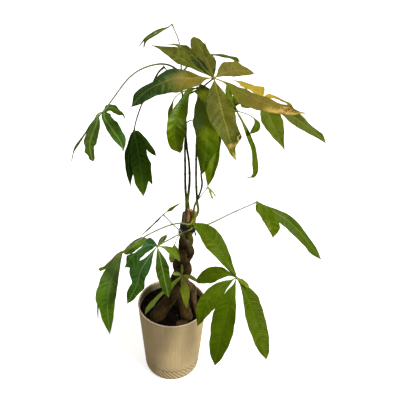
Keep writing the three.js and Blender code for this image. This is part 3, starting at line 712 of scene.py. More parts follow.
def soilBody():
    # up the side from the middle of the pot's floor, then in over the top to its middle
    turn = evenTurns(soil["around"])[None, :]
    rows, inner, edge = soil["rows"], pot["footRound"] - pot["wall"], soil["height"] - soil["edgeDip"]
    quarter = np.linspace(0, np.pi / 2, rows["foot"])[:, None]
    rise = np.linspace(pot["floor"] + inner + soil["wallStart"], edge, rows["wall"])[:, None]
    over = np.linspace(0.995, 0.01, rows["top"])[:, None] * soilSide(edge)
    foot = soilSide(pot["floor"] + inner) - inner * (1 - np.sin(quarter))
    radius = np.vstack([foot, soilSide(rise), over]) + 0 * turn
    level = np.vstack([pot["floor"] + soil["gap"] + inner * (1 - np.cos(quarter)), rise, over]) + 0 * turn
    x, y = radius * np.cos(turn), radius * np.sin(turn)
    below = np.arange(len(radius))[:, None] < rows["foot"] + rows["wall"]
    height = np.where(below, level, soilTop(x, y))
    return skin(np.stack([x, y, height], axis=-1), 0, {"crumb": 0.0, "pale": 0.0})


def icosahedron():
    # the corners of three golden rectangles square to each other, brought to a unit sphere, and the triangles
    # between corners that are all next to each other, turned to face outwards
    golden = (1 + 5**0.5) / 2
    signs = np.array([(a, b) for a in (-1, 1) for b in (-golden, golden)])
    rectangle = np.column_stack([0 * signs[:, :1], signs])
    corners = unit(np.vstack([np.roll(rectangle, shift, axis=1) for shift in range(3)]))
    apart = np.linalg.norm(corners[:, None] - corners[None], axis=-1)
    beside = (apart > 0.1) & (apart < apart[apart > 0.1].min() + 0.01)
    a, b, c = np.nonzero(beside[:, :, None] & beside[:, None] & beside[None])
    faces = np.stack([a, b, c], axis=1)[(a < b) & (b < c)]
    first, second, third = [corners[faces[:, corner]] for corner in range(3)]
    inward = np.sum(np.cross(second - first, third - first) * first, axis=1) <= 0
    faces[inward] = faces[inward][:, [0, 2, 1]]
    return corners, faces


def soilCrumbs():
    # crumbs strewn evenly over the top, each an icosahedron with uneven corners, squashed and turned about Z
    corners, faces = icosahedron()
    each, count = len(corners), soil["crumbs"]
    draw = np.random.default_rng(11)
    widest = soilSide(soil["height"] - soil["edgeDip"]) - soil["crumbMargin"]
    reach = widest * np.sqrt(draw.uniform(0, 1, count))
    angle = draw.uniform(0, 2 * np.pi, count)
    size = draw.uniform(*soil["crumbSize"], (count, 3)) * draw.uniform(0.4, 1, (count, 1))
    size[:, 2] *= soil["crumbSquash"]
    spin = draw.uniform(0, 2 * np.pi, count)
    shape = corners[None] * draw.uniform(0.75, 1.2, (count, each, 1)) * size[:, None] / 2
    cos, sin = np.cos(spin)[:, None], np.sin(spin)[:, None]
    x, y = reach * np.cos(angle), reach * np.sin(angle)
    verts = np.stack([
        x[:, None] + shape[..., 0] * cos - shape[..., 1] * sin,
        y[:, None] + shape[..., 0] * sin + shape[..., 1] * cos,
        soilTop(x, y)[:, None] + shape[..., 2] + 0.15 * size[:, 2:],
    ], axis=-1)
    tris = faces[None] + each * np.arange(count)[:, None, None]
    pale = np.where(draw.uniform(0, 1, count) < soil["perlite"], 1.0, draw.uniform(0, 0.5, count))
    return {"verts": verts.reshape(-1, 3), "quads": np.zeros((0, 4), int), "tris": tris.reshape(-1, 3),
            "material": 0, "values": {"crumb": np.ones(each * count), "pale": np.repeat(pale, each)}}


makePiece("potting_soil", [soilBody(), soilCrumbs()], [soilMaterial()], "soil")
print("soil ready")


# Saplings: they weave about a leaning axis, then stand up to their sawn tops; their feet are swollen

trunk = {
    "foot": (17, -24, 250), "top": (34, -6, 443), "plaitEnd": 395, "turn": 420, "swing": (10.6, 6.8),
    "sway": [(285, -1.2), (313, -3.4), (335, 0), (362, 3), (370, 1.2), (378, -2), (388, -4.5), (394, -4),
             (402, -0.5), (410, 0)],
    "taper": 0.88, "around": 44, "step": 1.8, "spacing": 12, "ridge": 0.04, "fineRidge": 0.03, "bevel": 0.6,
    "sawnRings": (0.86, 0.6, 0.3),
}
saplings = {
    "sapling_right": {
        "phase": 60, "foot": [(56, -17, 137), (54, -20, 180), (47, -17, 214), (41.5, -12, 244)],
        "joins": 274, "top": 445, "bark": "bark_right",
        "radii": [(130, 4), (180, 5.8), (215, 6), (250, 10.5), (270, 12), (290, 11), (313, 11), (340, 8.4),
                  (375, 7.2), (395, 6), (450, 5.6)],
        "knots": [(232, 3.6, 4, 0.8), (415, 4.6, 3, 0.6), (436, 5.2, 2.4, 0.7)],
    },
    "sapling_middle": {
        "phase": 180, "foot": [(31, -31, 137), (30, -32, 184)],
        "joins": 250, "top": 437, "bark": "bark_middle",
        "radii": [(130, 7), (178, 14), (205, 12), (250, 11), (290, 12.2), (340, 8.4), (375, 7.2), (395, 6),
                  (450, 5.6)],
        "knots": [(210, 4.4, 5, 0.7), (262, 4.9, 4, 0.9), (330, 4.2, 4, 0.9), (425, 4.4, 3, 0.5)],
    },
    "sapling_left": {
        "phase": 300, "foot": [(-38, -28, 137), (-32, -31, 182)],
        "joins": 250, "top": 447, "bark": "bark_left",
        "radii": [(130, 9), (178, 16.5), (205, 14.5), (250, 11), (290, 11), (313, 12.4), (340, 8.6),
                  (375, 7.2), (395, 6), (450, 5.6)],
        "knots": [(222, 4.0, 6, 0.6), (300, 5.0, 4, 0.9), (428, 4.5, 3.4, 1.0), (418, 5.4, 2.5, 0.8)],
    },
}
rootKnob = {"centre": (22, -50, 175), "radii": (16, 11, 11)}


def plaited(phase, height):
    # where a sapling's centre is at a height: a figure of eight about the leaning axis, tightening upwards
    height = np.atleast_1d(np.array(height, float))
    low, high = np.array(trunk["foot"], float), np.array(trunk["top"], float)
    axis = low + (high - low) * ((height - low[2]) / (high[2] - low[2]))[:, None]
    axis[:, 0] += alongKnots(trunk["sway"], height)
    share = np.minimum(1, (height - low[2]) / (trunk["plaitEnd"] - low[2]))
    turn = np.radians(phase + trunk["turn"] * share)
    size = 1 + (trunk["taper"] - 1) * share
    axis[:, 0] += trunk["swing"][0] * size * np.sin(turn)
    axis[:, 1] += trunk["swing"][1] * size * np.sin(2 * turn)
    return axis


def saplingParts(name, sapling, seed):
    # rings along the sapling's route, their radius uneven like bark, with sunken knots and a flat sawn top
    heights = np.arange(sapling["joins"], sapling["top"] - trunk["spacing"] / 2, trunk["spacing"])
    route = np.vstack([sapling["foot"], plaited(sapling["phase"], np.append(heights, sapling["top"]))])
    count = int(lengthsOf(smoothPath(route, 300))[-1] / trunk["step"])
    path = smoothPath(route, count)
    passed = lengthsOf(path)[:, None]
    height = path[:, 2:]
    angle = evenTurns(trunk["around"])[None, :]
    radius = alongKnots(sapling["radii"], height)
    bark = trunk["ridge"] * radius * uneven(angle, passed, seed, waves=12, turns=11, rate=0.12)
    bark = bark + trunk["fineRidge"] * radius * uneven(angle, passed, seed + 7, waves=8, turns=3, rate=0.5)
    knot = 0
    for level, way, size, depth in sapling["knots"]:
        turn = (angle - way + np.pi) % (2 * np.pi) - np.pi
        near = np.exp(-((height - level) / size) ** 2 - (turn * radius / size) ** 2)
        knot = np.maximum(knot, near)
        bark = bark + depth * (0.9 * near * (1 - 1.9 * near) + 0.2 * near)
    reach = radius + bark
    grid, ahead, ways = ringsRound(path, reach, angle)
    # the top is turned in over a small bevel, then dished a little to the middle
    last, bevel = reach[-1:, :, None], trunk["bevel"]
    sawn = [path[-1] + 0.5 * bevel * ahead[-1] + (last - bevel) * ways[-1:]]
    for share in trunk["sawnRings"]:
        dish = 0.5 * bevel - 0.5 * (1 - share)
        sawn.append(path[-1] + dish * ahead[-1] + last * share * ways[-1:])
    blank = np.zeros((len(sawn), trunk["around"]))
    values = {"knot": np.vstack([np.broadcast_to(knot, reach.shape), blank]),
              "sawn": np.vstack([np.zeros(reach.shape), blank + 1])}
    parts = [skin(np.vstack([grid] + sawn), 0, values)]
    if name == "sapling_middle":
        parts.append(ball(rootKnob["centre"], rootKnob["radii"], 40, 60, 0, {"knot": 0.0, "sawn": 0.0}, 0.05))
    return parts


for seed, (name, sapling) in enumerate(saplings.items()):
    bark = barkMaterials[sapling["bark"]]
    makePiece("trunk_" + name, saplingParts(name, sapling, 20 + seed), [bark], name)
print("saplings ready")


# Tie: a flat woven band round the row of three stems, with a short tail that curls at its foot

tie = {"level": 404, "height": 8.5, "thickness": 1.2, "clear": 0.6, "tail": (1.4, 4, 15), "tailTurn": -14,
       "tailForward": 2, "curl": (7, 0.005)}


def squarish(wave):
    # a sine or cosine made blunt, so that a section drawn with it is a rectangle with round corners
    return np.sign(wave) * np.abs(wave) ** 0.4


def tieParts():
    # the band's section carried round two half circles joined by straights, in the stems' own frame
    ends = ("sapling_middle", "sapling_right")
    left, right = [plaited(saplings[name]["phase"], tie["level"])[0] for name in ends]
    half = np.linalg.norm(right - left) / 2
    inner = alongKnots(saplings["sapling_left"]["radii"], tie["level"]) + tie["clear"]
    rise = unit(np.array(trunk["top"], float) - np.array(trunk["foot"], float))
    across = unit(right - left)
    basis = np.stack([across, unit(np.cross(rise, across)), rise])
    middle = (left + right) / 2

    arc = np.linspace(-np.pi / 2, np.pi / 2, 30)
    turn = np.concatenate([arc, arc + np.pi])[:, None]
    centre = np.repeat([half, -half], len(arc))[:, None]
    section = evenTurns(20)[None, :]
    flat, tall = squarish(np.cos(section)), squarish(np.sin(section))
    reach = inner + tie["thickness"] / 2 * (1 + flat) + 0.15 * np.sin(6 * turn) * np.sin(section)
    level = tie["height"] / 2 * (1 + tall) + 0.3 * np.sin(2 * turn)
    grid = np.stack([centre + reach * np.cos(turn), reach * np.sin(turn), level], axis=-1)
    band = skin(grid[:, ::-1] @ basis + middle, 0, looped=True)

    thick, wide, long = tie["tail"]
    start, bend = tie["curl"]
    drop = np.linspace(-long / 2, long / 2, 24)[:, None]
    lean = np.radians(tie["tailTurn"])
    x = thick / 2 * flat + bend * (drop - start) ** 2 * (drop < start)
    y = wide / 2 * tall - tie["tailForward"] + 0 * drop
    away = half + inner + 1.6 * tie["thickness"]
    out, up = x * np.cos(lean) + drop * np.sin(lean) + away, drop * np.cos(lean) - x * np.sin(lean)
    return [band, skin(np.stack([out, y, up], axis=-1) @ basis + middle, 0)]


makePiece("stem_tie", tieParts(), [tieMaterial()], "tie")


# New shoots: thin stems that start inside a sapling, swollen a little where leaves have been

shootSkin = {"around": 14, "step": 1.6, "nodeEvery": 31, "nodeWidth": 0.09, "swell": 0.14, "ridge": 0.09,
             "tip": 0.7, "green": (0.6, 0.08, 0.25)}
shoots = {
    "shoot_left": {
        "from": "sapling_middle", "at": 424,
        "stems": [
            {"points": [(187.4, 211, 3), (187.1, 203, 0), (185.6, 191, -4), (185.1, 165, -6), (185, 145, -6),
                        (186, 126, -4), (182.5, 97, -1), (181.3, 72, 4), (181, 60, 7)],
             "radii": [(0, 4.9), (0.1, 4.6), (0.15, 3), (0.18, 2.4), (1, 1.3)]},
            {"points": [(187.6, 201, -1), (188.7, 192, -4), (189.6, 181, -6), (189, 162, -6), (187, 148, -5),
                        (185.8, 134, -5)], "radii": [(0, 2.6), (1, 1.8)]},
            {"points": [(182.2, 93, 0), (175, 80, 10), (166.5, 70, 18), (163.3, 65.5, 20)],
             "radii": [(0, 1.5), (1, 1.1)]},
            {"points": [(185.6, 123.6, -4), (189, 121, -4), (193.6, 119.8, -7)],
             "radii": [(0, 1.2), (1, 0.8)]},
        ],
    },
    "shoot_right": {
        "from": "sapling_right", "at": 426,
        "stems": [
            {"points": [(198.2, 211, -10), (197.2, 201.5, -7), (196.4, 188, -6), (196.1, 170, -6),
                        (196.6, 140, -5), (198, 112, -4), (199, 98, -4)],
             "radii": [(0, 2.6), (1, 1.3)]},
        ],
    },
    "shoot_middle": {
        "from": "sapling_right", "at": 434,
        "stems": [
            {"points": [(194.6, 206, -19), (197.2, 200, -17), (201, 190, -14), (202.1, 184, -12),
                        (201.2, 174, -9), (203.5, 152, -4), (208, 132, 0), (214, 119, 4), (222, 110, 8)],
             "radii": [(0, 2.2), (1, 1.2)]},
        ],
    },
}


def shootRoutes(shoot):
    routes = [[seen(place) for place in stem["points"]] for stem in shoot["stems"]]
    routes[0] = [carried(shoot["from"], shoot["at"])] + routes[0]
    return routes


def carried(stem, at):
    # the middle of a sapling at a height, or of a shoot's stem at a share of its length
    if stem in saplings:
        return plaited(saplings[stem]["phase"], at)[0]
    index, share = at
    path = smoothPath(shootRoutes(shoots[stem])[index], 1001)
    return path[int(round(share * 1000))]


def shootParts(shoot, seed):
    # tubes that taper evenly, with a low ring where each old leaf stood
    parts = []
    for index, route in enumerate(shootRoutes(shoot)):
        length = lengthsOf(smoothPath(route, 200))[-1]
        path = smoothPath(route, int(length / shootSkin["step"]))
        share = np.linspace(0, 1, len(path))
        beat = (share * length / shootSkin["nodeEvery"] + 0.3 * index) % 1 - 0.5
        radius = alongKnots(shoot["stems"][index]["radii"], share)
        radius = radius * (1 + shootSkin["swell"] * np.exp(-(beat / shootSkin["nodeWidth"]) ** 2))
        radius[-1] *= shootSkin["tip"]
        angle = evenTurns(shootSkin["around"])[None, :]
        bumps = uneven(angle, (share * length)[:, None], seed + index, waves=5, turns=4, rate=0.2)
        wave = shootSkin["ridge"] * radius[:, None] * bumps
        amount, low, high = shootSkin["green"]
        green = amount * (1 - smoothStep(low, high, share))[:, None]
        parts.append(tube(path, radius, shootSkin["around"], 0, {"green": green}, wave))
    return parts


for seed, (name, shoot) in enumerate(shoots.items()):
    makePiece("new_" + name, shootParts(shoot, 40 + seed), [stemMaterial], name)
print("shoots ready")


# Leaves: `from` and `at` are the stem and the place on it, then the stalk's route, the hub and the
# leaflets. A leaflet's shape: `tip` and `via` are places, `face` is how far it turns its face to the view
# and `twist` how much it turns on along its rib, `fold` is how far its halves rise, both in degrees.
# `right` and `left` are its half widths in mm at the edgeShares; one without them has a `width`, widest at
# `peak` and with a `blunt` tip. A leaflet's look: `depth` from fresh 0 to deep 1, `yellow` from green 0 to
# yellow 1 and `cool` from olive 0 to bluish 1, each one number or (hub, tip); the bluish end paints a sheen
# of reflected sky on most leaflets and is a pale grey-green tint on a few, and a few leaflets in shade are
# made fresher as painted light. `veins` and `rib` say how pale these are, `pleat` how high the blade stands
# between its veins in mm, `buckle` how much it puckers, `crease` how deep its creases are and `bands` how
# unlike its bands. `patches` lists soft spots as (share, place, spread along, spread across, change of
# depth, of yellow and of cool): most are tones of the leaflet's own, some paint light, shade or sheen, as
# noted at their leaflets. `dry` lists dried spots as (share, place, spread along, spread across, amount).

leafShape = {
    "thickness": 0.45, "rib": 1.1, "ribWidth": 0.9, "bow": 0.1, "edgeWave": 1.5, "edgeWaves": 2.2,
    "leastHalf": 0.7, "tipHalf": 0.15, "hub": 2.6, "hubShare": 0.18, "stalk": 1.3, "stalkStep": 2,
    "veinSpacing": 5.6, "veinLean": 0.5, "veinCurve": 0.012, "arch": 0.05,
    "creases": 6, "creaseEvery": (13, 34), "rowStep": 1.5, "rows": (18, 100),
    "columnStep": 2.2, "columns": (6, 16), "columnSpread": 1.35, "rim": 0.965,
    "edgeShares": (0.04, 0.1, 0.17, 0.25, 0.33, 0.41, 0.49, 0.57, 0.65, 0.73, 0.81, 0.88, 0.94, 0.98),
    "edgeBlur": 0.015,
}
leafDefaults = {
    "face": 0.3, "twist": 0, "fold": 10, "peak": 0.6, "blunt": 0.7, "width": 0, "via": None, "right": None,
    "left": None, "depth": 0.5, "yellow": 0, "cool": 0, "veins": 0.1, "rib": 0.35, "pleat": 0.14,
    "buckle": 0.5, "crease": 0.5, "bands": 0.6, "dry": (), "patches": (),
}

leaves = {
    "leaf_crown": {
        "slot": "leaf_fading", "from": "shoot_left", "at": (0, 0.79),
        "stalk": [(186, 95.5, 0), (192, 92.5, 1), (200, 88.5, -8)], "hub": (214, 78, -60),
        "leaflets": [
            dict(tip=(194, 36.5, 70), via=(205, 57, 10), face=0.35, depth=(0.6, 0.7), yellow=0.3,
                 buckle=0.9, crease=0.9, bands=0.5,
                 right=[0.5, 3.2, 7.2, 10, 12.5, 14, 12, 9.6, 8.7, 9.6, 9.7, 8.3, 5.6, 1.3],
                 left=[0, 5.1, 6.8, 7.1, 7, 8, 10.5, 14, 15, 15.5, 14, 10.5, 7.6, 5]),
            dict(tip=(151, 45.2, 20), via=[(200, 70, -42), (185, 61, -16), (168, 52.3, 3)],
                 depth=(0.5, 0.75), yellow=(0.2, 0.35), cool=0.2, buckle=0.9, crease=1.1, bands=0.9,
                 veins=0.25,
                 right=[0, 0.3, 0, 0.6, 2.6, 5.5, 11.5, 17, 15.5, 12.5, 8.7, 5.9, 3.1, 0.7],
                 left=[0, 1.5, 2.7, 4.2, 6.2, 12.5, 13, 11, 9.1, 7.4, 4.8, 1.1, 0, 0]),
            dict(tip=(167, 44.2, 55), via=[(206, 70.5, -45), (197, 60, -5), (186, 50, 25), (176, 45.2, 45)],
                 face=0.35, depth=(1.1, 0.45), yellow=(0.05, 0.15),
                 right=[0.1, 2.2, 3.8, 4.7, 4.7, 4.8, 5.1, 5.3, 6.4, 6.6, 2.9, 2.5, 2.8, 1],
                 left=[0, 2, 5, 6.9, 7.7, 7.9, 7.2, 5.4, 3.8, 3.1, 2.7, 1.3, 1, 0]),
            # its second patch darkens the upper edge as painted shade, with a little painted sheen
            dict(tip=(131.2, 107, -100),
                 via=[(195, 78, -66), (175, 78.5, -75), (156, 85.5, -86), (141, 95.5, -94)], face=0.6,
                 twist=-20, depth=(0.5, 1.1), yellow=(0.4, -0.1), cool=(0, 0.6), pleat=0.2, buckle=1.1,
                 crease=1.4, bands=1, veins=0.22,
                 patches=[(0.33, 0.1, 0.17, 0.8, -0.1, 0.35, 0), (0.5, -0.8, 0.15, 0.35, 0.5, -0.3, 0.3)],
                 right=[0, 0.7, 3.1, 8, 12, 15.5, 15, 12.5, 7.3, 7.5, 8.3, 8.2, 4.1, 0.9],
                 left=[0, 2.9, 13, 16.5, 19.5, 23.5, 23.5, 19.5, 16, 12.5, 12, 11, 6.5, 2]),
            dict(tip=(236, 160.5, -140), via=(222.5, 113, -92), face=0.6, depth=(0.5, 0.6), yellow=0.2,
                 pleat=0.3, buckle=0.9, crease=1.2, bands=0.7, veins=0.35, rib=0.7,
                 patches=[(0.3, -0.6, 0.2, 0.5, 0.1, 0.02, 0), (0.35, 0.5, 0.3, 0.5, -0.1, 0.18, 0),
                          (0.8, 1, 0.035, 0.5, 1.5, 0, 0)],
                 dry=[(0.86, 0, 0.05, 2, 0.56), (0.96, 0, 0.08, 2, 0.5), (0.805, 1, 0.03, 0.4, 1.3)],
                 right=[0.3, 4.7, 11, 16, 20.5, 23.5, 23.5, 22.5, 20, 15, 11, 6.5, 5.4, 1.7],
                 left=[0, 1.6, 6.4, 11, 13.5, 16, 19, 19, 17.5, 16.5, 19, 3.7, 2.3, 0.7]),
            dict(tip=(306, 113.6, -110),
                 via=[(228, 83.8, -64), (242, 92.5, -71), (260, 101.5, -82), (282, 110, -97)], face=0.35,
                 depth=(0.3, 0.6), yellow=(0.25, 0.75), pleat=0.25, buckle=0.9, crease=1.2,
                 bands=0.7, veins=0.25,
                 dry=[(0.78, -0.9, 0.27, 1.5, 0.7), (0.79, 0.2, 0.06, 0.6, 0.82),
                      (0.76, 0.3, 0.025, 0.3, 0.95),
                      (0.8, 0, 0.025, 0.25, 0.93), (0.825, 0.4, 0.03, 0.35, 0.95), (1, 0, 0.1, 1, 0.8)],
                 right=[0, 0.7, 6, 17, 25, 24, 19.5, 16.5, 15, 13, 8.4, 5.6, 1.4, 0.2],
                 left=[0, 0.6, 2.8, 4.6, 9.1, 7.9, 9, 13.5, 13, 10, 10.5, 3.8, 1.2, 1.8]),
            dict(tip=(255, 73.6, -30), via=(234, 71, -46), face=0.7, depth=(-0.1, 0.5), yellow=(0.4, 0.5),
                 buckle=0.9, crease=1.1, veins=0.22,
                 right=[0, 1.6, 3.2, 5.3, 6.9, 8.1, 8.9, 9, 8.7, 7.9, 6.5, 4.5, 2.3, 0.5],
                 left=[0, 2, 8.4, 13.5, 16.5, 15, 13.5, 16, 15, 8.2, 5, 2.4, 0.9, 0]),
        ],
    },
    "leaf_back": {
        "slot": "leaf_mature", "from": "shoot_left", "at": (0, 0.93),
        "stalk": [(190, 64, 34)], "hub": (204, 55, 60),
        "leaflets": [
            dict(tip=(240, 62, 20), via=(224, 56, 44), face=0.25, depth=0.9, yellow=0.15,
                 right=[2, 2.5, 2.9, 3.1, 3.1, 3.1, 3.1, 3.1, 3, 3, 3, 2.6, 1.6, 0.6],
                 left=[1.6, 2, 2.2, 2.2, 2.2, 2.3, 2.5, 2.8, 3.4, 4, 4.2, 3.4, 1.6, 0.3]),
            dict(tip=(212, 66, 120), width=14, face=0.1, depth=0.7),
            dict(tip=(192, 66, 140), width=32, face=0.1, depth=0.7),
            dict(tip=(176, 56, 90), width=26, face=0.1, depth=0.8),
        ],
    },
    "leaf_right": {
        "slot": "leaf_mature", "from": "shoot_middle", "at": (0, 0.97),
        "stalk": [(240, 103.5, 34)], "hub": (262, 101, 44),
        "leaflets": [
            dict(tip=(231.5, 80.2, 100), via=(252, 87, 76), face=0.2, depth=(0.55, 0.4), yellow=1.05,
                 cool=0.4, crease=1.2,
                 right=[0, 3.1, 8.4, 11.5, 17, 10.5, 7, 3.6, 1.6, 1.3, 2.3, 2, 1.3, 0.1],
                 left=[0, 2.5, 2.7, 7.2, 9.9, 11.5, 12.5, 12.5, 12.5, 12.5, 6.3, 3.1, 1.7, 0.3]),
            dict(tip=(294.3, 110, 84), via=(279, 98.4, 70), face=0.5, depth=0.2, yellow=(0.9, 0.5),
                 right=[1.8, 1.2, 0.3, 0.6, 1.3, 2.3, 3.3, 4.9, 5.1, 4.6, 6.3, 5.7, 3, 0.4],
                 left=[1.2, 4.6, 7.9, 8.4, 4.4, 2.1, 0.7, 0, 0.1, 1.2, 2.4, 3.2, 2.7, 2.1]),
            dict(tip=(285, 151, 0), via=(271.5, 121.5, 26), face=0.8, depth=0.4, yellow=0.25,
                 crease=0.8, veins=0.18, rib=0.5,
                 right=[2.2, 6.2, 9.2, 12.5, 14.5, 16, 16, 15, 12.5, 9.9, 7.2, 2.9, 1, 0.3],
                 left=[4.4, 8.4, 12.5, 15.5, 18.5, 19.5, 20, 19, 16.5, 13.5, 8.8, 4.1, 2.1, 0.3]),
            dict(tip=(326.5, 144, 12), via=(296, 118.5, 30), face=0.7, depth=0.6, yellow=0.3,
                 crease=0.8, veins=0.18,
                 right=[1.6, 5, 5.9, 6.9, 8, 11.5, 12.5, 12, 11.5, 9.6, 6.4, 2.8, 1.2, 0.2],
                 left=[1.3, 3.7, 5.4, 7.3, 9.3, 10, 10, 9.6, 7.8, 6.1, 5.9, 7.1, 3.9, 0.7]),
        ],
    },
    "leaf_right_low": {
        "slot": "leaf_mature", "from": "shoot_middle", "at": (0, 0.88),
        "stalk": [(225, 114, 0)], "hub": (237, 111, -6),
        "leaflets": [
            dict(tip=(245.5, 177.2, -50),
                 via=[(243.5, 124, -14), (250, 139, -26), (254.7, 156, -36), (255.6, 171, -44),
                      (252, 177, -48)],
                 face=0.4, twist=30, depth=0.45, yellow=0.05,
                 right=[1.6, 1.2, 1.2, 2.4, 3.7, 3.7, 2.7, 2.9, 4.5, 5.8, 5.4, 2, 2.5, 0.8],
                 left=[0.1, 0.9, 1.4, 2.4, 3.3, 3.1, 4.5, 3.7, 3.6, 3.7, 4, 3.1, 2, 0.6]),
            dict(tip=(249.8, 133.8, -30), via=[(248, 114.5, -12), (255.5, 120, -20), (256.5, 127, -25)],
                 face=0.8, depth=0.6, yellow=-0.15,
                 right=[0, 0, 0, 0, 0, 0, 0, 1.9, 4.1, 5.9, 6, 4.8, 2.6, 0.9],
                 left=[0, 0, 0, 0, 0, 0, 0, 1.3, 5, 6.4, 5.8, 3.7, 2.4, 0.9]),
            dict(tip=(265, 105.5, 4), via=[(235.5, 106, 0), (237.5, 101, 6), (249, 101, 6)], face=0.45,
                 yellow=0.32, bands=0.5,
                 right=[3, 7, 11, 14, 16, 16, 16, 16, 15.5, 14.5, 13, 11.5, 7, 4],
                 left=[0, 1.2, 3.6, 12, 16, 15.5, 15.5, 14, 12.5, 11, 9.2, 7.4, 6.3, 2]),
            dict(tip=(228, 84.3, 30), via=(229.5, 98, 12), face=0.6, depth=0.45, yellow=0.1,
                 right=[0, 0, 1, 2, 3, 4, 5, 5.5, 6, 6, 5.5, 4.5, 3, 1],
                 left=[1, 2.9, 2.8, 3, 3.5, 3.3, 3.2, 3.5, 3.7, 4.1, 4, 3.4, 2.6, 1.9]),
        ],
    },
    "leaf_under": {
        "slot": "leaf_mature", "from": "shoot_right", "at": (0, 0.97),
        "stalk": [(199.5, 92, -10)], "hub": (197.5, 88, -18),
        "leaflets": [
            # its pale bluish strip along one side is a painted sheen, its yellower end painted light shining
            # through
            dict(tip=(180, 152.8, -62),
                 via=[(192.5, 89.8, -24), (187, 95, -31), (179.3, 108, -40), (174.6, 127, -52),
                      (175.8, 143, -59)],
                 face=0.85, depth=0.3, pleat=0.25, buckle=1.2, crease=2.2, bands=1,
                 patches=[(0.35, -0.5, 0.25, 0.35, -0.2, 0, 0.9), (0.3, 0.5, 0.12, 0.6, 0.7, 0, 0),
                          (0.55, 0.5, 0.1, 0.4, -0.1, 0, 0.4), (0.75, 0.3, 0.12, 0.6, 0.5, 0.1, 0),
(0.95, 0, 0.12, 1, 0, 0.25, 0)],
                 right=[1.7, 4.8, 5.5, 4, 5.4, 7.9, 10.5, 12.5, 13, 12.5, 12, 10.5, 8.5, 4],
                 left=[0, 0.7, 3, 8.3, 13, 16, 18, 19, 19, 18, 15.5, 12.5, 9.5, 6.1]),
            dict(tip=(167.8, 119, -18), via=[(186, 90.5, -18), (176, 96.5, -20), (170.6, 107, -19)],
                 face=0.7, depth=0.1,
                 right=[0, 0, 0, 0, 0, 0, 0, 0.2, 0, 0.8, 2, 2.1, 0.9, 0],
                 left=[0, 0, 0, 0, 0, 0, 0, 0, 3.1, 5.4, 4.4, 2.7, 1.4, 0.4]),
            # made fresher at the hub, and by its first patch, as painted light where the crown shades it; its
            # patches also paint a sheen
            dict(tip=(201.5, 175.5, -64),
                 via=[(202, 104, -28), (206.5, 124, -38), (207, 145, -50), (204.3, 163, -59)], face=0.85,
                 depth=(-0.5, 0.95), yellow=(0.12, -0.15), buckle=1, crease=1.8, bands=0.8,
                 patches=[(0.08, 0, 0.2, 1, -0.6, 0.1, 0.4), (0.38, -0.6, 0.12, 0.5, -0.4, 0, 0.5)],
                 right=[1.9, 4.1, 12, 17, 22, 22, 19.5, 18.5, 20, 17.5, 11, 7.6, 4.5, 1.3],
                 left=[3.1, 5.9, 7.5, 8, 9.8, 13.5, 18.5, 20, 20, 14, 7.4, 6, 3.7, 0.7]),
            # lightened all over, as painted light where it lies in shade
            dict(tip=(220, 118, -66), via=(207, 97, -38), width=21, face=0.75, peak=0.32, blunt=0.6,
                 depth=-0.7,
                 yellow=0.32, rib=0.9, veins=0.2),
        ],
    },
    "leaf_under_back": {
        "slot": "leaf_mature", "from": "shoot_middle", "at": (0, 0.7),
        "stalk": [(209, 130, -10)], "hub": (215, 112, -20),
        "leaflets": [
            # its first patch, lighter and bluish, is a painted highlight of light shining through; its second
            # paints shade on the other half
            dict(tip=(208, 187, -44), via=[(215.5, 130, -28), (215.8, 150, -37), (211.5, 172, -42)],
                 face=0.85, depth=0.3, crease=1.2, rib=0.6,
                 patches=[(0.6, -0.2, 0.15, 0.25, -0.4, 0.1, 0.3), (0.6, 0.6, 0.3, 0.35, 0.6, 0, 0.1)],
                 right=[2.9, 8.5, 14.5, 16, 16, 16, 16, 16, 16, 14, 10, 7.1, 3.8, 0.9],
                 left=[2.8, 6.6, 8.4, 9.6, 9.2, 7.7, 6.2, 7.6, 7.8, 7, 5.8, 3.6, 1.3, 0.1]),
            dict(tip=(236, 138, -34), width=22, face=0.5, depth=0.4),
        ],
    },
    "leaf_arch": {
        "slot": "leaf_dark", "from": "shoot_left", "at": (0, 0.935),
        "stalk": [(170, 65.5, 9), (160, 64, 12), (143.7, 68, 13), (129.9, 77, 9), (112, 100, -2)],
                  "hub": (103.5, 111.5, -8),
        "leaflets": [
            dict(tip=(71.1, 163, -16), via=[(93, 121.5, -9), (83, 136.6, -11), (75, 147.7, -14)], face=0.6,
                 fold=20,
                 right=[0, 0, 0, 0.1, 0.3, 0.1, 0.7, 0.9, 0.6, 0.4, 0, 0, 0.4, 0],
                 left=[0, 2.2, 2.5, 2.9, 3.1, 2.1, 1.3, 2.1, 3.1, 3.1, 1.1, 1.5, 0.7, 0]),
            dict(tip=(93, 161.3, -40),
                 via=[(98.6, 114, -12), (96.5, 123, -18), (93.3, 132, -24), (90, 142, -30),
                      (90.5, 152, -35)],
                 face=0.8, depth=(0.5, 0.75), yellow=0.25, cool=(0.4, 0.15), rib=0.8,
                 right=[0, 1.2, 2.9, 5.2, 6.8, 8, 9.1, 9.7, 9.7, 7.3, 10, 4.6, 5.2, 3.4],
                 left=[0, 0, 2.4, 5.6, 7.8, 9, 9.9, 11, 11.5, 6.6, 6.2, 5.6, 4.7, 3.7]),
            dict(tip=(122.8, 154, -40),
                 via=[(104.5, 117.5, -12), (112, 129, -24), (119.5, 140, -32), (122.6, 148, -37)], face=0.8,
                 depth=(0.6, 0.75), rib=0.8, dry=[(0.9, 0.9, 0.12, 0.3, 0.6)],
                 right=[2, 3.9, 4.7, 6.1, 7.3, 8, 7.8, 9, 8.4, 6.5, 3.4, 0.3, 0, 0],
                 left=[9.1, 12, 11, 11, 12.5, 13.5, 13, 11.5, 11, 10, 6, 2.3, 0.2, 0]),
            dict(tip=(125.2, 119.2, 20), via=[(108, 107.5, 2), (116, 109.3, 10), (122, 113.3, 16)],
                 face=0.85, depth=(0.85, 0.65), yellow=(0.15, 0.35),
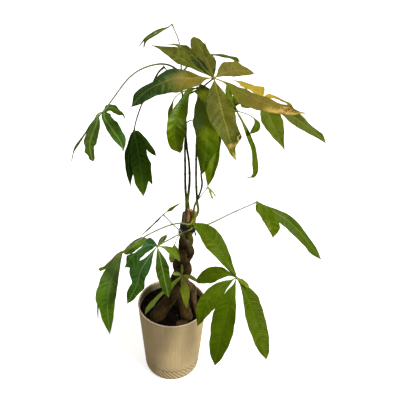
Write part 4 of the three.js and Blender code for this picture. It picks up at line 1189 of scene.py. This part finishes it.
                 right=[3.4, 4.6, 5, 5.4, 5.7, 6.7, 7, 7.3, 8.2, 3.8, 1.3, 0, 0, 0],
                 left=[1.5, 2.7, 4.4, 4.4, 4.7, 5.4, 4.1, 2.2, 1.6, 1.5, 1.2, 1.1, 0.5, 0]),
        ],
    },
    "leaf_hanging": {
        "slot": "leaf_dark", "from": "shoot_left", "at": (2, 0.95),
        "stalk": [(158.8, 72, 22), (150, 89, 27), (141.7, 104.7, 34), (135.8, 122, 41)],
                  "hub": (134, 131, 44),
        "leaflets": [
            dict(tip=(143.4, 197.8, 22), via=(140, 164, 34), face=0.9, depth=(0.85, 0.45),
                 right=[2.8, 7.6, 10.5, 13.5, 14.5, 16, 16.5, 16, 15.5, 14, 11.5, 7.2, 2.4, 0.4],
                 left=[5.1, 8.8, 12, 13.5, 15, 15.5, 15.5, 15, 14, 12.5, 9.6, 6.3, 2.4, 0]),
            dict(tip=(130.7, 187.8, 48), via=(128.8, 159, 44), face=0.9, depth=(1, 0.7),
                 right=[1.7, 4.9, 8.4, 12, 13, 13, 13.5, 12.5, 11, 8.9, 6.2, 2.7, 1.1, 0],
                 left=[2.7, 4.1, 4.7, 5.5, 6.7, 7.9, 7.4, 6.5, 5.9, 4.5, 3.1, 1.6, 0, 0]),
            dict(tip=(152.5, 185.7, 54), via=(147, 156, 52), face=0.9, depth=0.1,
                 right=[0.3, 0, 0, 0, 0.2, 0.9, 0.5, 1.3, 3.6, 0.7, 0.1, 0, 0, 0],
                 left=[0, 2.3, 5.5, 8.6, 10.5, 12, 12.5, 13.5, 14, 14.5, 14.5, 12, 5.4, 0.8]),
            dict(tip=(156, 156.3, 62), via=(147.5, 142.5, 56), face=0.8, depth=0.7, yellow=-0.15,
                 right=[0, 3.9, 7.6, 9.7, 11.5, 12.5, 12, 11.5, 10.5, 9.1, 7.4, 4.7, 2.4, 0.4],
                 left=[2.6, 4.3, 4.3, 3.5, 2.8, 2.3, 2.1, 2.1, 2.2, 2.1, 2.1, 1.3, 0.8, 0]),
        ],
    },
    "leaf_top": {
        "slot": "leaf_dark", "from": "shoot_left", "at": (0, 0.985), "slim": 0.75,
        "stalk": [(178.8, 41, 16), (175, 31, 24)], "hub": (172, 24, 30),
        "leaflets": [
            dict(tip=(138, 47.3, 30), via=[(168.5, 26.7, 30), (156, 31.3, 32), (146, 38.6, 31)], face=0.6,
                 depth=0.85, yellow=0.28,
                 right=[0, 0, 0, 0.7, 0.9, 1.1, 1.5, 1.6, 1.7, 1.7, 1.1, 0.5, 0.3, 0],
                 left=[0, 0, 0, 0.7, 1.4, 1.5, 1.3, 0.7, 0.4, 0.1, 0, 0, 0, 0]),
            dict(tip=(143.4, 49.7, 14), via=[(168, 27.4, 28), (157, 33, 22), (147, 39.2, 17)], face=0.6,
                 depth=0.85, yellow=0.28,
                 right=[0, 0, 0, 0, 0.5, 0.6, 0.7, 0.6, 0.3, 1.2, 2.1, 1.5, 0.7, 0],
                 left=[0, 0, 0, 0.4, 1.5, 2.2, 2.7, 3.1, 2.7, 1.8, 0.6, 0, 0, 0]),
        ],
    },
    "leaf_far_right": {
        "slot": "leaf_mature", "from": "sapling_right", "at": 424,
        "stalk": [(199, 227, -6), (209, 224, 6), (232, 213, 40)], "hub": (257, 202, 70),
        "leaflets": [
            dict(tip=(273.1, 239, 16), via=(268.5, 218.5, 46), face=0.85, depth=0.45, yellow=0.05,
                 veins=0.04, rib=0.1,
                 right=[6.9, 11.5, 13.5, 13.5, 13, 12.5, 12, 11, 10, 8.5, 5.8, 2.8, 0.9, 0],
                 left=[1.8, 4.2, 6.8, 8.8, 11.5, 13, 15, 17, 17.5, 17, 14.5, 9.9, 1.9, 0.3]),
            dict(tip=(321.5, 260, 26),
                 via=[(268, 208.5, 65), (286, 219.5, 55), (299, 231, 45), (311, 246, 34)], face=0.7,
                 depth=0.7, yellow=0.12, rib=0.5,
                 right=[0.3, 3.5, 7.4, 11.5, 14, 15, 15.5, 15, 14, 13, 13, 9.4, 3.9, 1],
                 left=[0.7, 2.4, 5.3, 8.5, 10.5, 11, 9.9, 8.9, 8, 7.8, 6.4, 4.3, 2.4, 0.5]),
        ],
    },
    "leaf_front_right": {
        "slot": "leaf_mature", "from": "sapling_right", "at": 419,
        "stalk": [(196, 229, -32), (214, 254, -80)], "hub": (236.5, 277.7, -140),
        "leaflets": [
            dict(tip=(193.5, 223.4, -60), via=(216.5, 245.5, -98), face=0.8, depth=0.55, yellow=(-0.2, 0.1),
                 pleat=0.4, veins=0.15, rib=0.15,
                 right=[1.7, 3.1, 4.9, 7.9, 10.5, 13.5, 17, 18, 18, 16, 14.5, 11, 6.5, 3],
                 left=[0, 2.3, 7.2, 10.5, 13, 15, 16.5, 16.5, 15.5, 13, 9.7, 7.6, 5.2, 1.8]),
            dict(tip=(195.3, 281, -112), via=(216, 274, -124), face=0.8, depth=0.6, yellow=-0.15,
                 veins=0.05, rib=0.2,
                 right=[2.1, 2.8, 4.3, 7.2, 10.5, 12.5, 13.5, 14, 12.5, 11, 9.4, 7.4, 3.9, 0.6],
                 left=[0, 0, 0.4, 3.4, 7.4, 11, 13.5, 15, 15.5, 14.5, 12.5, 10, 7.2, 2.8]),
            dict(tip=(197.3, 326, -180), via=(210.5, 297, -162), face=0.9, depth=0.6, yellow=-0.15,
                 pleat=0.06, veins=0.04, rib=0.12,
                 right=[0, 0.6, 4.9, 8.2, 10.5, 12, 13, 14, 13, 10.5, 8.2, 5.7, 2.9, 0.3],
                 left=[0, 3.5, 7, 10.5, 14, 16.5, 18, 18.5, 16.5, 14.5, 12, 8.6, 4.9, 1.6]),
            dict(tip=(214.8, 365.3, -190), via=(225, 320, -174), face=0.95, depth=0.6, yellow=-0.15,
                 pleat=0.2, veins=0.12, rib=0.15,
                 right=[0, 2.1, 8.9, 15, 19, 22, 23, 23.5, 21, 19, 16.5, 13.5, 8.5, 3],
                 left=[0, 2.5, 5.5, 9, 13, 16.5, 19, 20, 19.5, 17.5, 15, 11.5, 7.2, 2.7]),
            dict(tip=(265.9, 359.3, -180), via=(253.6, 314, -166), face=0.9, depth=(0.55, 0.45),
                 yellow=0.15, pleat=1.2, veins=0.32, rib=0.25,
                 right=[0, 0.2, 2.5, 6, 9.9, 13, 15, 16.5, 17, 16, 14, 10.5, 6.3, 1.9],
                 left=[0, 1.7, 9.8, 16, 18.5, 17.5, 17.5, 18, 17, 15.5, 13, 10.5, 8, 4.2]),
            dict(tip=(249, 288, -150), width=8, face=0.5, depth=0.3),
        ],
    },
    "leaf_small": {
        "slot": "leaf_young", "from": "sapling_middle", "at": 300, "slim": 0.7,
        "stalk": [(181.6, 272.5, -45)], "hub": (182, 275.5, -60),
        "leaflets": [
            dict(tip=(181.6, 264.3, -64), face=0.8, depth=0.8,
                 right=[0, 0, 0.1, 0.7, 1.2, 1.5, 1.6, 1.7, 1.8, 1.5, 0.8, 0.3, 0.2, 0],
                 left=[0, 0.6, 1.3, 1.8, 2.3, 2.8, 2.6, 2.5, 2.3, 2.1, 1.2, 0.2, 0, 0]),
            dict(tip=(172, 273.8, -68), face=0.8, depth=0.8,
                 right=[0, 0, 1, 2.2, 3, 3.5, 4.1, 4.2, 3.5, 2.9, 2.1, 0.9, 0.2, 0],
                 left=[0, 0, 0, 0.5, 1, 1.5, 2, 2.1, 2.2, 2.3, 2, 1.1, 0.6, 0]),
            dict(tip=(198.6, 283, -78), via=(190.5, 277, -70), face=0.7, depth=0, yellow=0.25,
                 right=[0, 0.3, 1.1, 1.8, 2.2, 2.8, 3.2, 3.4, 3.4, 3, 2.4, 1.4, 0.6, 0],
                 left=[0, 0.5, 0.8, 1.3, 1.8, 2.4, 3.3, 3.2, 3.2, 3, 2.5, 1.4, 0.5, 0]),
            dict(tip=(186.9, 308.8, -78), via=(185.6, 291, -72), face=0.9, depth=(0.1, 0), yellow=0.2,
                 right=[0, 2.1, 4.6, 6.4, 7.8, 8.8, 9.4, 9.3, 8.2, 6.9, 5.3, 3.6, 1.9, 0.1],
                 left=[0, 1.4, 2.3, 3.5, 4.9, 6.5, 7.1, 7.1, 6, 4.7, 2.8, 1.3, 0.5, 0]),
            dict(tip=(145.2, 314.4, -45), via=(164.5, 291.3, -58), face=0.8, depth=(0.25, 0.05), yellow=0.1,
                 cool=(0.15, 0.45),
                 right=[0, 0, 0.5, 0.7, 1.1, 1.7, 2.5, 3.4, 4.5, 5.2, 6.2, 6.6, 6.1, 2.6],
                 left=[1.7, 2.9, 4.2, 5.4, 7, 7.7, 4.3, 1.2, 0.8, 1.1, 3.3, 1.5, 0.7, 0.1]),
        ],
    },
    "leaf_mid_left": {
        "slot": "leaf_dark", "from": "sapling_right", "at": 414,
        "stalk": [(190.5, 229.5, -32), (179.8, 234, -48), (166, 241.3, -76)], "hub": (157.5, 246, -100),
        "leaflets": [
            dict(tip=(166.9, 234.2, -86), face=0.9, depth=0.95, yellow=(0.4, 0.2), cool=(0.6, 0),
                 right=[0, 0, 0, 1.6, 2.9, 3.6, 4.2, 4.5, 4.2, 3.8, 3.5, 2.7, 0.5, 0],
                 left=[0, 0.8, 1.6, 2.4, 3.1, 3.7, 3.5, 3.3, 3, 2, 1.1, 0.3, 0, 0]),
            dict(tip=(180.4, 261.7, -84), via=(169.8, 250.3, -92), face=0.8, depth=0.25, yellow=0.25,
                 right=[0, 0.5, 1.3, 2, 3, 4, 5, 5.5, 5.3, 4.8, 3.8, 2.4, 1.1, 0],
                 left=[0, 0, 0.2, 1.3, 3, 4.5, 5.8, 7, 6.7, 6.2, 5.6, 3.6, 1.6, 0.1]),
            dict(tip=(168.6, 297.3, -112), via=(162.5, 269.5, -108), face=0.9, depth=0.8, yellow=0.2,
                 cool=(0.2, 0), rib=0.9,
                 right=[0, 1.8, 4.1, 6.8, 9, 11, 11.5, 12, 11.5, 10.5, 8.5, 6.5, 4.6, 1.5],
                 left=[0, 0.6, 3.3, 6.4, 9.1, 10.5, 12, 11.5, 10.5, 10, 9.2, 6.8, 4.2, 1.2]),
            dict(tip=(127.2, 303.7, -140), via=[(149, 257.5, -113), (140.7, 271, -124), (136.8, 285, -131)],
                 face=0.9, depth=(0.7, 0.85), yellow=0.1, cool=(0.9, 0.1), veins=0.3, rib=0.5,
                 right=[0, 1.5, 2.8, 5.1, 12.5, 20, 19, 14, 9.2, 10.5, 10.5, 7.8, 4.2, 1],
                 left=[0, 0.8, 5.2, 9.8, 13, 13.5, 13, 12, 15.5, 10.5, 8.2, 6.6, 4.1, 1]),
            dict(tip=(124.4, 268.3, -130), via=[(148, 245.3, -108), (139.5, 249.8, -117), (131, 258, -125)],
                 face=0.6, depth=(0.9, 0.75), yellow=(0.3, 0.05), cool=(0.9, 0.3),
                 right=[11, 15.5, 14.5, 8.7, 2.8, 1.2, 1.5, 0.9, 3.3, 8.1, 5, 2.1, 0.9, 0],
                 left=[0.1, 3.9, 7.9, 11, 12.5, 13, 13.5, 13.5, 17, 22.5, 17.5, 9.6, 2.2, 0.3]),
        ],
    },
    "leaf_far_left": {
        "slot": "leaf_dark", "from": "sapling_right", "at": 431,
        "stalk": [(189.5, 224.4, -32), (181.4, 223.2, -34), (172.3, 224.5, -38), (159.9, 229, -46),
                  (145, 236.5, -54), (132, 245, -62)], "hub": (122.5, 252, -68),
        "leaflets": [
            dict(tip=(109.9, 334.5, -100), via=[(116.5, 265, -75), (110.3, 285, -84), (107.5, 305, -91)],
                 face=0.9, depth=(0.2, 0.55), yellow=(0, 0.1), cool=(0.45, 0), rib=0.7,
                 right=[0, 4.7, 11.5, 18.5, 21, 22.5, 23, 23, 15.5, 13.5, 11, 7.6, 3.9, 0.8],
                 left=[1.8, 4.8, 7.7, 11, 13, 14, 14.5, 14.5, 13.5, 11.5, 8.8, 5.6, 2.7, 0.5]),
            dict(tip=(98.4, 269.6, -60), via=[(116.5, 255.8, -64), (107.5, 265, -62)], face=0.5,
                 depth=(0, 0.1), yellow=(0.9, 0.05), cool=(0.6, 0.1),
                 right=[2.7, 2.5, 2.4, 2, 2, 2.4, 2.8, 3, 2.8, 1.9, 0.6, 1.3, 2.2, 2.6],
                 left=[2.5, 3.7, 4.9, 5.5, 5.4, 4.7, 4.5, 4.9, 5.8, 5.6, 5.1, 5.6, 6.3, 0.3]),
            dict(tip=(148, 238.4, -44), via=(134.5, 245.8, -54), face=0.7, fold=4, depth=(0, 0.45),
                 yellow=(0.1, 0.05),
                 right=[6.5, 8.2, 9.6, 11, 9.9, 9, 8.3, 7.8, 7.4, 6.7, 5.2, 3.2, 1.1, 0],
                 left=[0, 1.3, 3, 4.7, 6, 7.3, 8.3, 8.9, 9.4, 9.3, 8.8, 6, 2.9, 0]),
            dict(tip=(98, 318, -72), width=6, via=(103, 284, -74), face=0.5, depth=-0.2, cool=1),
        ],
    },
    "leaf_up_left": {
        "slot": "leaf_mature", "from": "sapling_left", "at": 384, "slim": 0.8,
        "stalk": [(184, 234.5, -38), (174, 225.5, -42)], "hub": (163.3, 214.5, -46),
        "leaflets": [
            dict(tip=(180.4, 203.1, -52), via=[(167, 211.6, -47), (173.4, 207.4, -49)], face=0.4,
                 depth=(0.3, 0.6),
                 right=[0, 0, 0, 0.8, 2.2, 3.5, 4.1, 3.5, 2.9, 2.2, 1.3, 0.5, 0.2, 0],
                 left=[0, 0, 0, 0.3, 1.7, 2.3, 2.2, 2.2, 1.8, 1.4, 0.9, 0.3, 0.1, 0]),
            dict(tip=(140.8, 236.2, -56), via=[(157.5, 220.6, -50), (149, 228.8, -53)], face=0.2, fold=30,
                 depth=1,
                 right=[0.4, 0.5, 0.6, 0.7, 0.7, 0.8, 0.9, 0.9, 0.8, 0.6, 0.4, 0.2, 0, 0],
                 left=[0.6, 1, 2.2, 2.8, 2.6, 2.4, 2.3, 2.1, 1.8, 1.4, 1, 0.5, 0.2, 0]),
        ],
    },
    "leaf_tiny": {
        "slot": "leaf_young", "from": "sapling_left", "at": 392, "slim": 0.5,
        "stalk": [(178, 237, -34)], "hub": (174.4, 245, -36),
        "leaflets": [
            dict(tip=(171, 263, -42), width=11, face=0.8),
            dict(tip=(178, 258, -44), width=9, face=0.8),
        ],
    },
    "leaf_new": {
        "slot": "leaf_young", "from": "shoot_middle", "at": (0, 0.17), "slim": 0.6,
        "stalk": [(202, 194.5, -22)], "hub": (208, 187, -20),
        "leaflets": [
            dict(tip=(212.6, 199.5, -24), width=3, face=0.5),
            dict(tip=(216, 197, -16), width=2, face=0.5),
            dict(tip=(207, 178, -20), width=3, face=0.5),
        ],
    },
}


def ribOf(hub, tip, middle, leaflet, share):
    # the midrib's places and directions: a path through the listed places, or a curve that passes one place
    # halfway, or a low bow
    if isinstance(leaflet["via"], list):
        path = smoothPath([hub] + [seen(place) for place in leaflet["via"]] + [tip], len(share))
        return path, unit(np.gradient(path, axis=0))
    bend = middle + np.array([0, 0, leafShape["bow"] * np.linalg.norm(tip - hub)])
    if leaflet["via"]:
        bend = 2 * seen(leaflet["via"]) - middle
    at = np.minimum(share, 0.985)
    path = (1 - share) ** 2 * hub + 2 * share * (1 - share) * bend + share**2 * tip
    return path, unit((1 - at) * (bend - hub) + at * (tip - bend))


def edgesOf(share, leaflet):
    # how far the blade reaches right and left of its rib in mm: its own widths where it lists them, each the
    # mean of three places close together, or else a wedge-shaped foot and a pointed tip
    if leaflet["right"]:
        knots = [0, *leafShape["edgeShares"], 1]
        steps = leafShape["edgeBlur"] * np.array([-1, 0, 1])
        return [sum(np.interp(share + step, knots, [0, *leaflet[name], 0]) for step in steps) / 3
                for name in ("right", "left")]
    peak, blunt = leaflet["peak"], leaflet["blunt"]
    foot = blunt * peak / (1 - peak)
    half = 0.5 * leaflet["width"] * share**foot * (1 - share) ** blunt / (peak**foot * (1 - peak) ** blunt)
    return [half, half]


def bladePart(hub, leaflet, seed):
    # a blade along a bowed rib from the hub to its tip. At each share of the rib, `side` runs across the
    # blade and `normal` stands up from it: the blade rises from the rib by its fold, its edge waves, and it
    # stands a little higher between its lateral veins. The upper face is drawn one way round, the lower one
    # back.
    tip = seen(leaflet["tip"])
    length = np.linalg.norm(tip - hub)
    middle = (hub + tip) / 2
    chord = unit(tip - hub)
    level = unit(np.cross((0, 0, 1), chord))
    above = np.cross(chord, level)
    toEye = eye - middle
    upper = np.sign(toEye @ above)
    fullTurn = np.arctan2(-upper * (toEye @ level), upper * (toEye @ above))

    share = np.linspace(0, 1, int(np.clip(length / leafShape["rowStep"], *leafShape["rows"])))[:, None]
    right, left = edgesOf(share, leaflet)
    columns = int(np.clip((right + left).max() / leafShape["columnStep"], *leafShape["columns"]))
    even = np.linspace(-1, 1, 2 * columns + 1)
    spread = (np.sign(even) * np.abs(even) ** leafShape["columnSpread"])[1:-1]
    place = np.concatenate([[-1, -leafShape["rim"]], spread, [leafShape["rim"], 1]])[None, :]

    rib, forward = ribOf(hub, tip, middle, leaflet, share)
    angle = leaflet["face"] * fullTurn + np.radians(leaflet["twist"] * share)
    side = level * np.cos(angle) + above * np.sin(angle)
    side = unit(side - forward * np.sum(side * forward, axis=1, keepdims=True))
    normal = np.cross(forward, side)

    # the edges, a little ragged, and how far each vertex lies from the rib
    least = leafShape["tipHalf"] + leafShape["leastHalf"] * (1 - smoothStep(0.9, 1, share))
    half = 0.5 * (right + left) + least
    draw = np.random.default_rng(seed)
    phases = draw.uniform(0, 2 * np.pi, 6)
    ragged = 0.03 * np.sin(17 * share + phases[0] + place) + 0.02 * np.sin(41 * share + phases[1])
    reach = (np.where(place < 0, right, left) + least) * (1 + ragged) * place

    # fold, edge waves, arch and puckers, all smaller where the blade is narrow
    ripple = leafShape["edgeWave"] * place**2 * np.sin(2 * np.pi * leafShape["edgeWaves"] * share + 2 * place)
    lift = np.abs(reach) * np.tan(np.radians(leaflet["fold"])) + ripple * np.minimum(1, half / 8)
    lift = lift - leafShape["arch"] * half * place**2
    buckle = np.sin(9 * share + phases[2]) * np.sin(2.4 * place + phases[3])
    buckle = buckle + 0.6 * np.sin(21 * share + phases[5]) * np.sin(4.3 * place + phases[2])
    lift = lift + leaflet["buckle"] * buckle * np.minimum(1, half / 10)

    # creases: the mean of folded sine waves, each with its own direction and spacing
    passed = share * lengthsOf(rib)[-1]
    crease = 0
    for wave in range(leafShape["creases"]):
        run = np.pi / draw.uniform(*leafShape["creaseEvery"])
        way = draw.uniform(0, np.pi)
        ahead = passed * np.cos(way) + reach * np.sin(way)
        crease = crease + np.abs(np.sin(run * ahead + 6.3 * draw.uniform()))
    crease = crease / leafShape["creases"] - 0.6
    lift = lift + 2 * leaflet["crease"] * crease * np.minimum(1, half / 10)

    # lateral veins lean forward from the rib, and the blade is pleated between them
    lean = leafShape["veinLean"] * np.abs(reach) + leafShape["veinCurve"] * reach**2
    phase = (passed - lean) / leafShape["veinSpacing"] + np.where(place < 0, 0.0, 0.45) + phases[4]
    fade = within((0, 0.15, 0.75, 1), np.abs(place)) * np.minimum(1, half / 7)
    lift = lift - leaflet["pleat"] * np.cos(2 * np.pi * phase) * fade

    bump = leafShape["rib"] * np.exp(-(reach / leafShape["ribWidth"]) ** 2) * (1 - 0.75 * share)
    thin = leafShape["thickness"] * (1 - 0.4 * place**2)
    centre = rib[:, None] + reach[..., None] * side[:, None]
    top = centre + (lift + thin / 2 + 0.25 * bump)[..., None] * normal[:, None]
    low = centre + (lift - thin / 2 - bump)[..., None] * normal[:, None]
    grid = np.concatenate([top[:, ::-1], low], axis=1)

    def overLength(value):
        start, end = value if isinstance(value, tuple) else (value, value)
        return start + (end - start) * smoothStep(0.1, 0.95, share)

    def spot(where, edge, along, across):
        return np.exp(-((share - where) / along) ** 2 - ((place - edge) / across) ** 2)

    # tints along the leaflet and its soft spots; some spots paint light, shade or sheen
    tints = [overLength(leaflet[name]) for name in ("depth", "yellow", "cool")]
    for *shape, deeper, yellower, cooler in leaflet["patches"]:
        tints = [tint + more * spot(*shape) for tint, more in zip(tints, (deeper, yellower, cooler))]
    dryness = 0
    for *shape, amount in leaflet["dry"]:
        dryness = np.maximum(dryness, amount * spot(*shape))
    values = {
        "depth": tints[0], "yellowing": tints[1], "cool": tints[2], "dryness": dryness,
        "veinPhase": phase, "veinShow": leaflet["veins"] * fade, "veinDepth": 6 * leaflet["pleat"] * fade,
        "bandShow": leaflet["bands"] * smoothStep(0, 0.3, np.abs(place)),
        "ribDistance": np.abs(reach), "ribShow": leaflet["rib"] * (1 - 0.5 * share),
    }
    values = {name: np.broadcast_to(value, reach.shape) for name, value in values.items()}
    values = {name: np.concatenate([value[:, ::-1], value], axis=1) for name, value in values.items()}
    isLow = np.arange(grid.shape[1]) >= grid.shape[1] / 2
    return skin(grid, 0, {**values, "underside": isLow if upper >= 0 else ~isLow})


def leafParts(leaf, seed):
    # the stalk with its swollen ends, the hub, and a blade for each leaflet
    hub = seen(leaf["hub"])
    route = [carried(leaf["from"], leaf["at"])] + [seen(place) for place in leaf["stalk"]] + [hub]
    length = lengthsOf(smoothPath(route, 200))[-1]
    path = smoothPath(route, max(12, int(length / leafShape["stalkStep"])))
    share = np.linspace(0, 1, len(path))
    radius = leafShape["stalk"] * leaf.get("slim", 1) * (1.35 - 0.35 * share)
    swell = 0.6 * np.exp(-((share - 1) * length / 6) ** 2) + 0.4 * np.exp(-(share * length / 9) ** 2)
    green = 0.9 * np.maximum(smoothStep(0.85, 1, share), 1 - smoothStep(0.28, 0.5, share))[:, None]
    leaflets = [{**leafDefaults, **leaflet} for leaflet in leaf["leaflets"]]
    widest = max(max(leaflet["right"] or [leaflet["width"] / 2]) for leaflet in leaflets)
    size = np.clip(leafShape["hubShare"] * widest, 1, leafShape["hub"])
    stalk = tube(path, radius + swell, 10, 1, {"green": green})
    knuckle = ball(hub, [size] * 3, 10, 16, 1, {"green": 0.9}, 0.12)
    blades = [bladePart(hub, leaflet, 100 * seed + index) for index, leaflet in enumerate(leaflets)]
    return [stalk, knuckle] + blades


for seed, (name, leaf) in enumerate(leaves.items()):
    materials = [leafMaterials[leaf["slot"]], petioleMaterial]
    makePiece("palmate_" + name, leafParts(leaf, seed), materials, name)
print("leaves ready")


# Studio: a pale floor that fills the view, a soft key from the upper right and a broad sky-like fill

studio = {
    "floor": "#f7f7f7", "floorSize": 8, "floorGlow": 0.66, "floorGrain": 2.5,
    "keyFrom": (0.9, -0.85, 1.15), "keyAngle": 13, "keyStrength": 3.6, "keyColour": (1.0, 0.97, 0.93),
    "sky": "#fbf7f0", "skyStrength": 0.55, "groundStrength": 0.16, "sensorWidth": 36,
}


def makeFloor():
    half = studio["floorSize"] / 2
    mesh = bpy.data.meshes.new("studio_floor")
    corners = [(-half, -half, 0), (half, -half, 0), (half, half, 0), (-half, half, 0)]
    mesh.from_pydata(corners, [], [(0, 1, 2, 3)])
    floor = addObject("studio_floor", mesh)
    paper, tree, place = newMaterial("matte_paper_floor")
    grain = addNode(tree, "TexNoise", "Fac", {"Vector": place, "Scale": 1 / (studio["floorGrain"] * metre)})
    rough = addNode(tree, "MapRange", 0, {0: grain, 3: 0.85, 4: 0.95})
    finishMaterial(tree, {"Base Color": studio["floor"], "Roughness": rough, "Specular IOR Level": 0.2,
                          "Emission Color": studio["floor"], "Emission Strength": studio["floorGlow"]})
    mesh.materials.append(paper)
    # it stays plain paper, and throws no light up into the leaves
    floor.visible_diffuse = False
    floor.visible_glossy = False


def makeLights():
    lamp = bpy.data.lights.new("soft_key", "SUN")
    lamp.energy, lamp.color = studio["keyStrength"], studio["keyColour"]
    lamp.angle = np.radians(studio["keyAngle"])
    key = addObject("soft_key", lamp)
    key.rotation_euler = Vector(studio["keyFrom"]).to_track_quat("Z", "Y").to_euler()

    world = bpy.data.worlds.new("pale_studio")
    world.use_nodes = True
    tree = world.node_tree
    tree.nodes.clear()
    way = addNode(tree, "TexCoord", "Generated")
    rise = addNode(tree, "SeparateXYZ", "Z", {0: way})
    ground, sky = studio["groundStrength"], studio["skyStrength"]
    strength = addNode(tree, "MapRange", 0, {0: rise, 1: -0.3, 2: 0.5, 3: ground, 4: sky})
    backdrop = addNode(tree, "Background", 0, {"Color": studio["sky"], "Strength": strength})
    addNode(tree, "OutputWorld", None, {"Surface": backdrop})
    bpy.context.scene.world = world


def makeCamera():
    # stands where the photograph was taken from, with the same angle of view
    lens = bpy.data.cameras.new("photo_view")
    lens.sensor_width = studio["sensorWidth"]
    lens.lens = lens.sensor_width * view["focal"] / (2 * view["middle"])
    camera = addObject("photo_view", lens)
    basis = np.eye(4)
    basis[:3] = np.stack([viewRight, viewUp, -viewAhead, eye * metre], axis=1)
    camera.matrix_world = Matrix(basis.tolist())
    bpy.context.scene.camera = camera


makeFloor()
makeLights()
makeCamera()
bpy.context.scene.view_settings.view_transform = "Standard"
print("studio ready")
